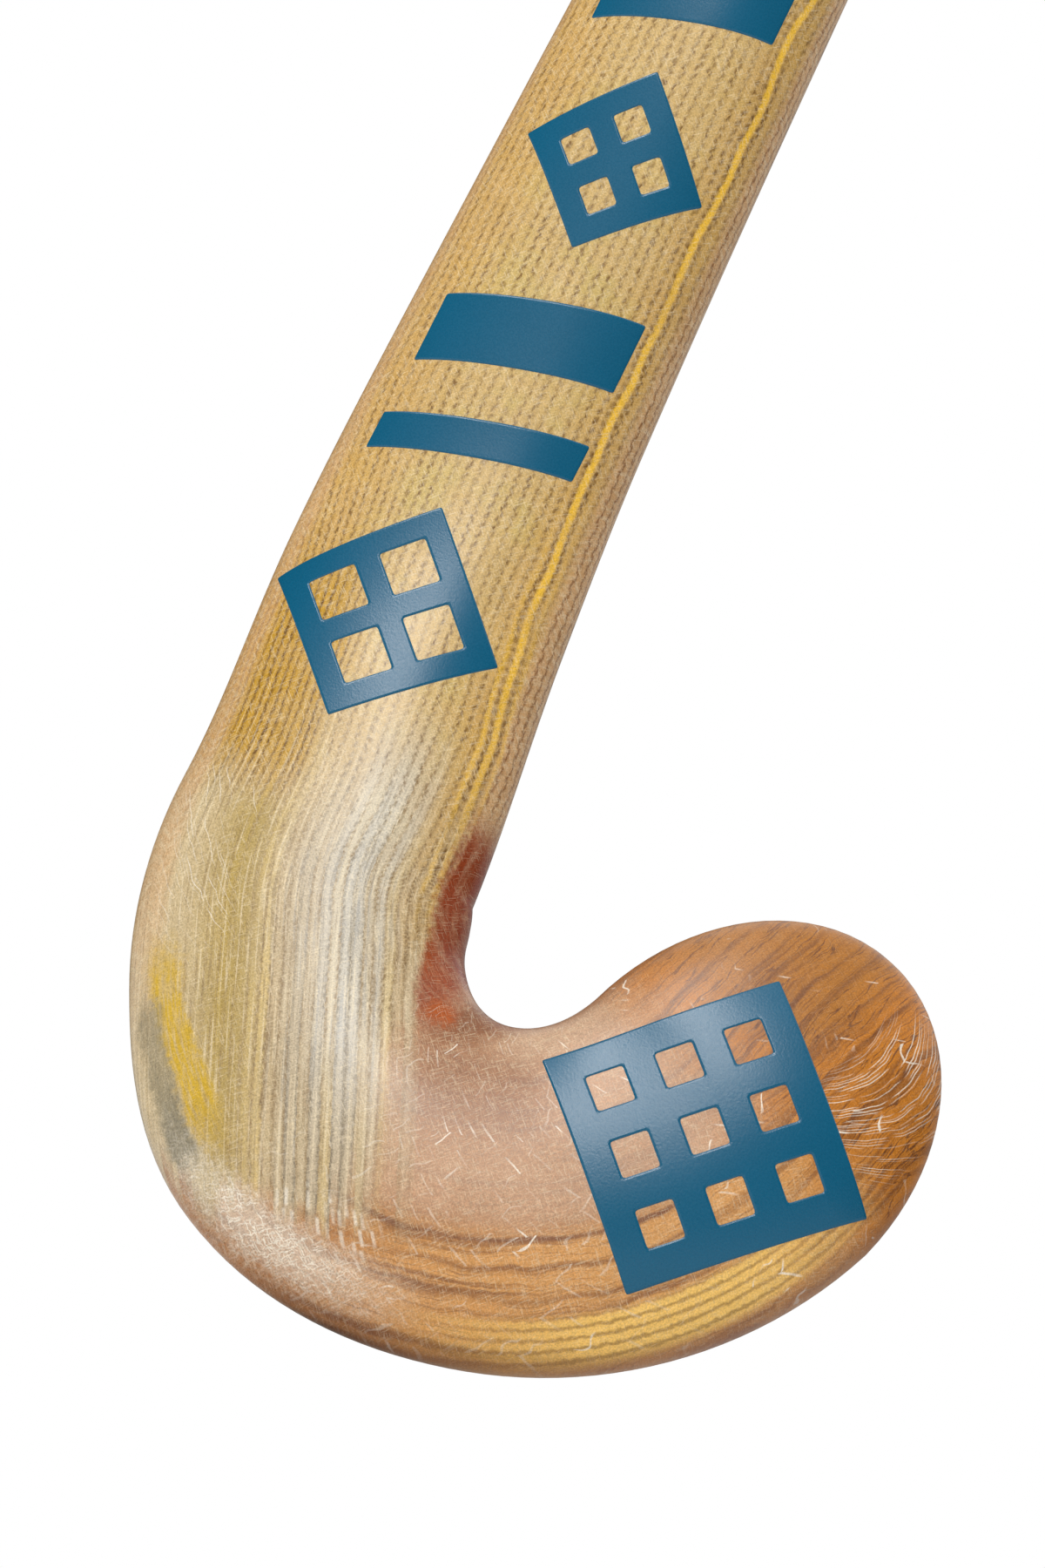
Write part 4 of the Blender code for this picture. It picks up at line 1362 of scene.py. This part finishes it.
@dataclass
class Transfer:
    """A thin printed film on the back: a grid of cells, some open, with rounded corners."""

    form: StickForm
    name: str
    x: float
    z: float
    u_angle: float
    v_angle: float
    columns: list[float]
    rows: list[float]
    mask: list[str]
    round: float = 0.0004
    inner_round: float = 1.5  # power of the fillet in an inner corner
    step: float = 0.0011
    lift: float = 0.00009
    rim: float = 0.00009
    sunk: float = 0.00005

    def lines(self, sizes: Sequence[float]) -> tuple[list[float], list[int], list[float]]:
        """Lay fine grid lines over a row of cells.

        Args:
            sizes: The cells' lengths.

        Returns:
            The lines, the cell that each fine step lies in, and the cells' own borders.
        """
        borders = [-sum(sizes) / 2]
        for size in sizes:
            borders.append(borders[-1] + size)
        at, cells = [borders[0]], []
        for number, (low, high) in enumerate(zip(borders, borders[1:])):
            inner = high - low - 2 * self.round
            count = max(1, math.ceil(inner / self.step))
            stops = [low + self.rim, low + self.round]
            stops += [low + self.round + inner * k / count for k in range(1, count)]
            stops += [high - self.round, high - self.rim, high]
            at += stops
            cells += [number] * len(stops)
        return at, cells, borders

    def filled(self, column: int, row: int) -> bool:
        """Tell whether a cell holds film."""
        inside = 0 <= column < len(self.columns) and 0 <= row < len(self.rows)
        return inside and self.mask[row][column] == "#"

    def rounded(self, u: float, v: float, us: Sequence[float], vs: Sequence[float]) -> Vector:
        """Draw a point near a corner of the outline onto the corner's arc.

        Args:
            u: Along the columns.
            v: Along the rows.
            us: The columns' borders.
            vs: The rows' borders.

        Returns:
            The point, moved if it lies near a corner.
        """
        i = min(range(len(us)), key=lambda k: abs(us[k] - u))
        j = min(range(len(vs)), key=lambda k: abs(vs[k] - v))
        du, dv = u - us[i], v - vs[j]
        if max(abs(du), abs(dv)) > self.round:
            return Vector((u, v))
        around = {(a, b): self.filled(i - 1 + a, j - 1 + b) for a in (0, 1) for b in (0, 1)}
        held = sum(around.values())
        if held not in (1, 3):
            return Vector((u, v))
        side = next(key for key, full in around.items() if full == (held == 1))
        su, sv = (1 if part else -1 for part in side)
        if held == 1:
            a, b = 1 - abs(du) / self.round, 1 - abs(dv) / self.round
            a2, b2 = a * math.sqrt(1 - b * b / 2), b * math.sqrt(1 - a * a / 2)
            return Vector((us[i] + su * self.round * (1 - a2), vs[j] + sv * self.round * (1 - b2)))
        away = max(abs(du), abs(dv)) / self.round
        pull = self.round * (1 - math.sqrt(0.5)) * (1 - away) ** self.inner_round
        return Vector((u + su * pull, v + sv * pull))

    def build(self) -> bpy.types.Object:
        """Build the film over the surface.

        Returns:
            The piece.
        """
        angles = (self.u_angle, self.v_angle)
        u_axis, v_axis = (Vector((math.cos(angle), math.sin(angle))) for angle in angles)
        us, u_cells, u_borders = self.lines(self.columns)
        vs, v_cells, v_borders = self.lines(self.rows)
        shape = bmesh.new()
        made = {}

        def full(i: int, j: int) -> bool:
            """Tell whether a fine cell holds film."""
            inside = 0 <= i < len(u_cells) and 0 <= j < len(v_cells)
            return inside and self.filled(u_cells[i], v_cells[j])

        def vert(i: int, j: int) -> bmesh.types.BMVert:
            """Make or find the corner of a fine cell, sunk where it lies on the film's edge.

            Args:
                i: Its number along the columns.
                j: Its number along the rows.

            Returns:
                The corner.
            """
            if (i, j) not in made:
                flat = self.rounded(us[i], vs[j], u_borders, v_borders)
                spot = Vector((self.x, self.z)) + u_axis * flat.x + v_axis * flat.y
                inner = all(full(i - a, j - b) for a in (0, 1) for b in (0, 1))
                lift = self.lift if inner else -self.sunk
                made[i, j] = shape.verts.new(self.form.surface_point(spot.x, spot.y, lift))
            return made[i, j]

        for i in range(len(u_cells)):
            for j in range(len(v_cells)):
                if full(i, j):
                    corners = [(i, j), (i + 1, j), (i + 1, j + 1), (i, j + 1)]
                    shape.faces.new([vert(*corner) for corner in corners])
        return add_piece(f"{self.name}_film", shape, self.name, film=True)


@dataclass
class TransferSet:
    """The films on the back: bars that grow down the shaft, and three nets."""

    form: StickForm
    bars: int = 6
    bar_lowest: float = 0.134
    bar_first: float = 0.0035
    bar_growth: float = 0.0020
    bar_gap: float = 0.012
    bar_share: float = 0.72
    bar_slant: float = math.radians(14)
    wide_bar: tuple[float, float] = (0.077, 0.0110)
    thin_bar: tuple[float, float] = (0.060, 0.0060)
    shaft_net: tuple[float, float] = (0.105, 0.0200)
    heel_net: tuple[float, float] = (0.031, 0.0250)
    net_wall: float = 0.0038
    toe_net_turn: float = math.radians(154)
    toe_net_out: float = 0.0050
    toe_net_side: float = 0.0340
    toe_net_wall: float = 0.0046

    def bar(self, number: int, over_throat: float, height: float) -> Transfer:
        """Lay out a slanted bar across the shaft.

        Args:
            number: Its number from the top.
            over_throat: Height of its middle over the throat.
            height: Its own height.

        Returns:
            The bar.
        """
        length = self.bar_share * self.form.width(-over_throat)
        z = self.form.level + over_throat
        name, turns = f"transfer_bar_{number}", (self.bar_slant, QUARTER_TURN)
        return Transfer(self.form, name, 0, z, *turns, [length], [height], ["#"])

    def net(self, name: str, spot: Vector, side: float, openings: int, wall: float) -> Transfer:
        """Lay out a square net turned on its corner, with rows of square openings.

        Args:
            name: Its name.
            spot: Its middle as (x, z).
            side: The square's side.
            openings: Openings in a row.
            wall: Width of the film between them.

        Returns:
            The net.
        """
        opening = (side - (openings + 1) * wall) / openings
        sizes = [wall, opening] * openings + [wall]
        rows = ["#." * openings + "#" if row % 2 else "#" * len(sizes) for row in range(len(sizes))]
        turns = (QUARTER_TURN / 2, QUARTER_TURN * 1.5)
        return Transfer(self.form, name, spot.x, spot.y, *turns, sizes, sizes, rows)

    def build(self, finish: bpy.types.Material) -> None:
        """Build every film.

        Args:
            finish: The films' material.
        """
        made = []
        place = self.bar_lowest
        for number in range(self.bars, 0, -1):
            height = self.bar_first + self.bar_growth * (number - 1)
            made.append(self.bar(number, place, height))
            place += height + self.bar_gap - self.bar_growth / 2
        made.append(self.bar(self.bars + 1, *self.wide_bar))
        made.append(self.bar(self.bars + 2, *self.thin_bar))
        for name, (height, side) in (("shaft", self.shaft_net), ("heel", self.heel_net)):
            spot = Vector((0, self.form.level + height))
            made.append(self.net(f"transfer_net_{name}", spot, side, 2, self.net_wall))
        point, outward = self.form.path(self.toe_net_turn * self.form.bend_radius)
        spot = point + outward * self.toe_net_out
        made.append(self.net("transfer_net_toe", spot, self.toe_net_side, 3, self.toe_net_wall))
        for transfer in made:
            transfer.build().data.materials.append(finish)


@dataclass(frozen=True)
class FilmFinish:
    """Satin petrol-blue film with a fine pebbled surface."""

    colour: Colour = srgb(0, 89, 121)
    worn: Colour = srgb(8, 104, 134)
    pebble: float = 0.30
    pebble_depth: float = 0.014
    patch: float = 8.0
    contrast: float = 0.12
    roughness: float = 0.235
    gloss: Gloss = Gloss(specular=0.46)

    def make(self) -> bpy.types.Material:
        """Make the material.

        Returns:
            The material.
        """
        f = Finish("petrol_film")
        spot = f.spot()
        pebble, cloud = f.noise(spot, self.pebble, 1.5), f.noise(spot, self.patch, 2.0)
        speck = f.noise(spot, 0.2, 1.0).rise(0.55, 0.8)
        colour = f.paint(self.colour).under((self.worn, speck * self.contrast))
        light = (cloud - 0.5) * self.contrast + (pebble - 0.5) * self.contrast + 1.0
        rough, normal = pebble * 0.08 + self.roughness, f.bump(pebble, self.pebble_depth)
        f.close(colour.dim(light), rough, normal, self.gloss)
        return f.material


@dataclass
class Grip:
    """The grip: a ribbon wound round the handle, a finishing band, and the cap on the butt."""

    form: StickForm
    start: float  # path positions of the grip's ends
    end: float
    band_start: float
    band_end: float
    cap_top: float
    pitch: float = 0.0215
    overlap: float = 0.0045
    inner: float = 0.0014  # over the stick's surface
    thickness: float = 0.0018
    step_height: float = 0.0007
    round: float = 0.0008
    edge_depth: float = 0.0006
    turn_steps: int = 64
    band_lift: float = 0.0035
    band_thickness: float = 0.0005
    band_round: float = 0.0003
    band_steps: int = 12
    skirt: float = 0.018
    skirt_inside: float = 0.0003  # over the stick's surface
    skirt_outside: float = 0.0011
    cap_clear: float = 0.0003
    cap_flange: float = 0.0038
    cap_chamfer: float = 0.0004
    cap_round: float = 0.0016
    cap_round_steps: int = 8
    cap_face: Knots = (  # shares of the way out to the rounding, and how far each sinks
        (0.86, 0.0), (0.74, 0.0), (0.71, 0.0006), (0.66, 0.0006), (0.63, 0.0),
        (0.4, 0.0), (0.2, 0.0), (0.11, 0.0001), (0.08, 0.0010), (0.03, 0.0014),
    )

    def ring(self, s: float, lift: float) -> list[Vector]:
        """Give points round the stick.

        Args:
            s: Path position.
            lift: How far over the stick's surface.

        Returns:
            The points.
        """
        station = self.form.station(s, lift)
        turns = [i / self.turn_steps for i in range(self.turn_steps)]
        return [self.form.in_space(station, *self.form.round_point(station, t)) for t in turns]

    def loft(self, rings: Sequence[Sequence[Vector]], closed: bool) -> bmesh.types.BMesh:
        """Join rings into a surface.

        Args:
            rings: Rings of equal count.
            closed: Join the last to the first, else cap both ends.

        Returns:
            The mesh.
        """
        shape = bmesh.new()
        verts = [[shape.verts.new(point) for point in ring] for ring in rings]
        bridge(shape, verts + verts[:1] if closed else verts)
        if not closed:
            shape.faces.new(verts[0])
            shape.faces.new(verts[-1])
        return shape

    def ribbon_profile(self) -> list[tuple[float, float]]:
        """Give the ribbon's outer side across its width.

        Returns:
            Places from its upper edge, and heights over the layer below.
        """
        top = self.thickness
        raised = top + self.step_height
        return [
            (0.0, top - self.edge_depth),
            (0.0, raised - self.round),
            (self.round * 0.35, raised - self.round * 0.3),
            (self.round, raised),
            (self.overlap * 0.6, raised),
            (self.overlap, mix(top, raised, 0.75)),
            (self.overlap * 1.5, mix(top, raised, 0.2)),
            (self.overlap * 2.0, top),
            (self.pitch * 0.65, top),
            (self.pitch * 0.85, top),
            (self.pitch, top - self.edge_depth),
        ]

    def build_ribbon(self) -> bpy.types.Object:
        """Wind the ribbon from the cap down to the band.

        Returns:
            The piece.
        """
        shape = bmesh.new()
        around = shape.verts.layers.float.new("around")
        down = shape.verts.layers.float.new("down")
        profile = self.ribbon_profile()
        turns = math.ceil((self.end - self.start) / self.pitch) + 1
        rows = []
        for k in range(turns * self.turn_steps + 1):
            turn = k / self.turn_steps
            row = []
            for u, lift in profile:
                s = min(max(self.start + (turn - 1) * self.pitch + u, self.start), self.end)
                station = self.form.station(s, self.inner + lift)
                across, y = self.form.round_point(station, turn % 1.0)
                vert = shape.verts.new(self.form.in_space(station, across, y))
                vert[around] = turn * math.pi * self.form.handle_width / MM
                vert[down] = u / MM
                row.append(vert)
            rows.append(row)
        bridge(shape, rows, closed=False)
        bmesh.ops.dissolve_degenerate(shape, edges=shape.edges, dist=2 * LEAST_RADIUS)
        return add_piece("grip_ribbon", shape, "grip_wrap")

    def build_band(self) -> bpy.types.Object:
        """Wrap the finishing band over the grip's lower end.

        Returns:
            The piece.
        """
        low, high, edge = self.band_lift, self.band_lift + self.band_thickness, self.band_round
        profile = [(self.band_start, low), (self.band_start, high - edge / 2)]
        profile.append((self.band_start + edge, high))
        first, last = self.band_start + 2 * edge, self.band_end - 2 * edge
        for i in range(self.band_steps + 1):
            profile.append((mix(first, last, i / self.band_steps), high))
        profile += [(self.band_end - edge, high), (self.band_end, high - edge / 2)]
        profile.append((self.band_end, low))
        shape = self.loft([self.ring(s, lift) for s, lift in profile], closed=True)
        return add_piece("grip_band", shape, "grip_finishing_tape")

    def build_cap(self) -> bpy.types.Object:
        """Build the cap with its rounded flange, a ring groove and a vent dimple.

        Returns:
            The piece.
        """
        flange, top = self.cap_flange, self.cap_top
        under = self.start - self.cap_clear
        profile = [
            (self.skirt_inside, under),
            (self.skirt_inside, self.start + self.skirt),
            (self.skirt_outside, self.start + self.skirt),
            (self.skirt_outside, under),
            (flange - self.cap_chamfer, under),
            (flange, under - self.cap_chamfer),
        ]
        for i in range(self.cap_round_steps + 1):
            angle = QUARTER_TURN * i / self.cap_round_steps
            height = top + self.cap_round * (1 - math.sin(angle))
            profile.append((flange - self.cap_round * (1 - math.cos(angle)), height))
        rings = [self.ring(s, lift) for lift, s in profile]
        centre = self.form.station(top).centre
        bow = self.form.bow_at(top)
        last = rings[-1]
        for share, sink in self.cap_face:
            places = [(mix(centre.x, p.x, share), mix(bow, p.y, share), p.z - sink) for p in last]
            rings.append([Vector(place) for place in places])
        shape = self.loft(rings, closed=False)
        return add_piece("butt_cap", shape, "end_cap")


@dataclass(frozen=True)
class GripFinish:
    """Soft cushioned grip with rows of fine perforations, painted dark for the shade inside them.
    """

    colour: Colour = srgb(28, 44, 58)
    worn: Colour = srgb(58, 74, 88)
    # painted shade: the near-black of the perforations stands in for the shade inside them
    hole: Colour = srgb(8, 12, 16)
    hole_pitch: float = 3.2
    hole_edge: tuple[float, float] = (0.10, 0.2)  # shares of the pitch from a hole's middle
    hole_depth: float = 0.35
    first_row: float = 5.5
    last_row: float = 20.5
    leather_grain: float = 0.7
    leather_depth: float = 0.06
    roughness: float = 0.6
    gloss: Gloss = Gloss(specular=0.4, sheen=0.15)

    def make(self) -> bpy.types.Material:
        """Make the material.

        Returns:
            The material.
        """
        f = Finish("cushion_grip")
        around, down = f.measure("around"), f.measure("down")
        spot = f.spot()
        row = down / self.hole_pitch
        u = (around / self.hole_pitch + row.floor() * 0.5).part() - 0.5
        v = row.part() - 0.5
        away = (u * u + v * v).calc("SQRT")
        hole = away.rise(*self.hole_edge).rest()
        hole = hole * down.between(self.first_row, self.last_row, 0.5)
        cloud = f.noise(spot, 12.0, 3.0)
        rub = f.noise(spot, 1.5, 3.0).rise(0.55, 0.75) * 0.35
        ridge = down.near(1.6, 1.2, 1.0)
        worn = (self.worn, (rub + ridge * 0.4).least(1.0))
        # painted shade: near-black laid into the perforations
        colour = f.paint(self.colour).under(worn, (self.hole, hole * 0.8))
        sunk = f.bump(hole.rest(), self.hole_depth)
        normal = f.bump(f.pits(spot, self.leather_grain), self.leather_depth, sunk)
        rough = cloud * 0.15 + self.roughness
        f.close(colour.dim(cloud * 0.3 + 0.85), rough, normal, self.gloss)
        return f.material


@dataclass(frozen=True)
class PlainFinish:
    """A finish of one base colour with grain: rubber, felt or the band's vinyl."""

    name: str
    colour: Colour
    second: Colour
    grain: float
    depth: float
    roughness: float
    gloss: Gloss = Gloss()
    along: float = 1.0  # share of the grain's pace that is left along the shaft
    broad_grain: float = 14  # times the fine one

    def make(self) -> bpy.types.Material:
        """Make the material.

        Returns:
            The material.
        """
        f = Finish(self.name)
        place = f.vector(f.x, f.y, f.z * self.along)
        fine = f.noise(place, self.grain, 3.0)
        broad = f.noise(place, self.grain * self.broad_grain, 2.0)
        colour = f.paint(self.colour).under((self.second, fine.rise(0.4, 0.75) * 0.6))
        colour = colour.dim(broad * 0.3 + 0.85)
        f.close(colour, fine * 0.15 + self.roughness, f.bump(fine, self.depth), self.gloss)
        return f.material


class Kind(Enum):
    """What a carried-over piece is made of."""

    MULBERRY = "mulberry"
    WILLOW = "willow"
    RUBBER = "rubber"
    GLASS_TAPE = "glass_tape"
    ARAMID = "aramid"
    FELT = "felt"


ALONG_SHAFT = 0.06
INNER_FINISHES = {
    Kind.MULBERRY: PlainFinish(
        "mulberry_wood", srgb(176, 120, 66), srgb(112, 66, 28), 0.9, 0.04, 0.45, along=ALONG_SHAFT
    ),
    Kind.WILLOW: PlainFinish(
        "willow_wood", srgb(214, 190, 150), srgb(170, 138, 96), 0.8, 0.04, 0.5, along=ALONG_SHAFT
    ),
    Kind.RUBBER: PlainFinish(
        "black_rubber", srgb(30, 31, 33), srgb(52, 53, 56), 0.35, 0.03, 0.55, Gloss(specular=0.4)
    ),
    Kind.GLASS_TAPE: PlainFinish(
        "glass_tape", srgb(204, 176, 126), srgb(150, 118, 74), 0.6, 0.05, 0.4, along=ALONG_SHAFT
    ),
    Kind.ARAMID: PlainFinish(
        "aramid_strand", srgb(226, 176, 62), srgb(176, 118, 30), 0.35, 0.05, 0.4, along=ALONG_SHAFT
    ),
    Kind.FELT: PlainFinish(
        "grey_felt", srgb(122, 122, 120), srgb(84, 84, 84), 0.3, 0.10, 0.85, Gloss(sheen=0.3)
    ),
}
INNER_KINDS = {
    "core_lamination": Kind.MULBERRY,
    "handle_cheek": Kind.WILLOW,
    "damping_strip": Kind.RUBBER,
    "glass_tape": Kind.GLASS_TAPE,
    "aramid": Kind.ARAMID,
    "grip_underlay": Kind.FELT,
}


def dress_inner_pieces() -> None:
    """Give each carried-over piece inside the stick its own finish."""
    made = {kind: finish.make() for kind, finish in INNER_FINISHES.items()}
    for name, node in sorted(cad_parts.items()):
        for start, kind in INNER_KINDS.items():
            if name.startswith(start):
                node.data.materials.clear()
                node.data.materials.append(made[kind])
                log.info("%s: %s", name, kind.value)


RAYS_THAT_SEE = ("Camera", "Glossy", "Transmission")


@dataclass
class Studio:
    """A pale floor, soft lamps and the camera at the photograph's viewing angle."""

    floor_height: float
    aim_x: float = 0.0270
    aim_height: float = 0.0811  # over the floor
    roll: float = math.radians(26.15)
    tilt: float = math.radians(22)
    distance: float = 0.4786
    lens: float = 78.0
    floor_size: float = 12.0
    floor_cells: int = 24
    floor_clear: float = 0.001
    floor_grey: float = 0.86
    fade: tuple[float, float] = (150.0, 1500.0)  # from the stick out, in millimetres
    ambient: float = 0.55
    key_watts: float = 29.5
    key_distance: float = 2.15
    key_width: float = 1.9
    key_height: float = 0.24
    key_turn: float = math.radians(-26)  # round from straight in front of the back
    key_rise: float = math.radians(30)
    key_spin: float = math.radians(-27)  # its right end hangs lower than its left
    fill_watts: float = 12.0
    fill_distance: float = 3.0
    fill_size: float = 3.2
    fill_side: tuple[float, float, float] = (0.6, 1, 0.6)
    card_radius: float = 3.6
    card_height: float = 3.2
    card_sides: int = 48
    card_grey: float = 0.03

    @property
    def aim(self) -> Vector:
        """What the camera looks at."""
        return Vector((self.aim_x, 0, self.floor_height + self.aim_height))

    def look(self) -> tuple[Vector, Vector, Vector]:
        """Work out the camera's axes.

        Returns:
            Right, up and forward.
        """
        right = Vector((math.cos(self.roll), 0, math.sin(self.roll)))
        level_up = Vector((-math.sin(self.roll), 0, math.cos(self.roll)))
        depth = Vector((0, 1, 0))
        forward = depth * math.cos(self.tilt) + level_up * math.sin(self.tilt)
        up = level_up * math.cos(self.tilt) - depth * math.sin(self.tilt)
        return right, up, forward

    def build_camera(self) -> None:
        """Place the camera."""
        right, up, forward = self.look()
        data = bpy.data.cameras.new("photo_camera")
        data.lens = self.lens
        camera = bpy.data.objects.new("photo_camera", data)
        camera.matrix_world = Matrix.Translation(self.aim - forward * self.distance) @ Matrix(
            (right, up, -forward)
        ).transposed().to_4x4()
        bpy.context.scene.collection.objects.link(camera)
        bpy.context.scene.camera = camera

    def add_lamp(
        self, name: str, direction: Vector, distance: float, size: tuple[float, float],
        watts: float, spin: float = 0.0,
    ) -> None:
        """Hang a soft lamp that faces the aim.

        Args:
            name: Its name.
            direction: From the aim towards the lamp.
            distance: How far away.
            size: Its width and height.
            watts: Its power.
            spin: How far it is turned in its own plane, anticlockwise from the camera's side.
        """
        data = bpy.data.lights.new(name, "AREA")
        data.shape = "RECTANGLE"
        data.size, data.size_y = size
        data.energy = watts
        lamp = bpy.data.objects.new(name, data)
        away = direction.normalized()
        lamp.location = self.aim + away * distance
        lamp.rotation_mode = "QUATERNION"
        level = away.to_track_quat("Z", "Y")
        lamp.rotation_quaternion = level @ Quaternion((0, 0, 1), spin)
        bpy.context.scene.collection.objects.link(lamp)

    def build_lamps(self) -> None:
        """Hang a long slanted softbox, whose reflection lies on heel and head, and a fill."""
        flat = math.cos(self.key_rise)
        front = (math.sin(self.key_turn) * flat, -math.cos(self.key_turn) * flat)
        away = Vector((*front, math.sin(self.key_rise)))
        size = (self.key_width, self.key_height)
        self.add_lamp("key", away, self.key_distance, size, self.key_watts, self.key_spin)
        away, size = Vector(self.fill_side), (self.fill_size, self.fill_size)
        self.add_lamp("back_fill", away, self.fill_distance, size, self.fill_watts)

    def build_card(self) -> None:
        """Stand a dark wall round the set, which only reflections see."""
        shape = bmesh.new()
        bmesh.ops.create_cone(
            shape, cap_ends=False, segments=self.card_sides, radius1=self.card_radius,
            radius2=self.card_radius, depth=self.card_height,
            matrix=Matrix.Translation((0, 0, self.floor_height + self.card_height / 2)),
        )
        card = place_mesh("dark_card", shape)
        card.visible_camera = False
        card.visible_diffuse = False
        card.visible_transmission = False
        card.visible_shadow = False
        f = Finish("dark_cloth")
        f.matt(self.card_grey, 1.0)
        card.data.materials.append(f.material)

    def build_world(self) -> None:
        """Light from all round, and white where the camera or a reflection sees past the stick."""
        world = bpy.data.worlds.new("studio")
        world.use_nodes = True
        tree = world.node_tree
        background = tree.nodes["Background"]
        background.inputs["Color"].default_value = (1, 1, 1, 1)
        path = add_node(tree, "LightPath").outputs
        seen, *others = (Tone(tree, path[f"Is {ray} Ray"]) for ray in RAYS_THAT_SEE)
        for other in others:
            seen = seen.most(other)
        plug(tree, background.inputs["Strength"], seen * (1 - self.ambient) + self.ambient)
        bpy.context.scene.world = world

    def build_floor(self) -> None:
        """Lay a pale floor that fades into the white round it, and shows from above only."""
        shape = bmesh.new()
        cells = {"x_segments": self.floor_cells, "y_segments": self.floor_cells}
        bmesh.ops.create_grid(shape, size=self.floor_size / 2, **cells)
        floor = place_mesh("floor", shape)
        floor.location = (0, 0, self.floor_height - self.floor_clear)
        f = Finish("pale_floor")
        f.matt(self.floor_grey, 0.9)
        away = (f.x * f.x + f.y * f.y).calc("SQRT")
        seen = Tone(f.tree, f.node("LightPath").outputs["Is Camera Ray"])
        white, clear = f.node("Emission").outputs[0], f.node("BsdfTransparent").outputs[0]
        back = f.node("NewGeometry").outputs["Backfacing"]
        faded = f.node("MixShader", away.rise(*self.fade) * seen, f.shader.outputs[0], white)
        sided = f.node("MixShader", back, faded.outputs[0], clear)
        f.tree.links.new(sided.outputs[0], f.tree.nodes["Material Output"].inputs["Surface"])
        floor.data.materials.append(f.material)

    def build(self) -> None:
        """Set the stage."""
        bpy.context.scene.view_settings.view_transform = "Standard"
        self.build_camera()
        self.build_lamps()
        self.build_card()
        self.build_world()
        self.build_floor()


def main() -> None:
    """Build every piece, dress it, and set the stage."""
    logging.basicConfig(level=logging.INFO, format="%(message)s")
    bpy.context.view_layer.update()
    form = StickForm(sole=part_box("glass_sleeve")[0].z, butt=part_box("end_cap")[1].z)
    skin_top = form.position(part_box("glass_sleeve")[1].z)
    grip_low, grip_high = (form.position(corner.z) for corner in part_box("grip_wrap"))
    band_low, band_high = (form.position(corner.z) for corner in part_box("grip_finishing_tape"))

    skin = ResinSkin(form, top=skin_top, grip_end=grip_low).build()
    skin.data.materials.append(ResinFinish().make())
    TransferSet(form).build(FilmFinish().make())
    grip = Grip(
        form,
        start=grip_high,
        end=grip_low,
        band_start=band_high,
        band_end=band_low,
        cap_top=form.position(form.butt),
    )
    grip.build_ribbon().data.materials.append(GripFinish().make())
    vinyl = PlainFinish(
        "band_vinyl", srgb(10, 84, 116), srgb(16, 96, 128), 0.5, 0.02, 0.3, Gloss(specular=0.5)
    )
    grip.build_band().data.materials.append(vinyl.make())
    grip.build_cap().data.materials.append(INNER_FINISHES[Kind.RUBBER].make())
    dress_inner_pieces()

    Studio(floor_height=form.sole).build()
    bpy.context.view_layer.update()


if __name__ == "__main__":
    main()
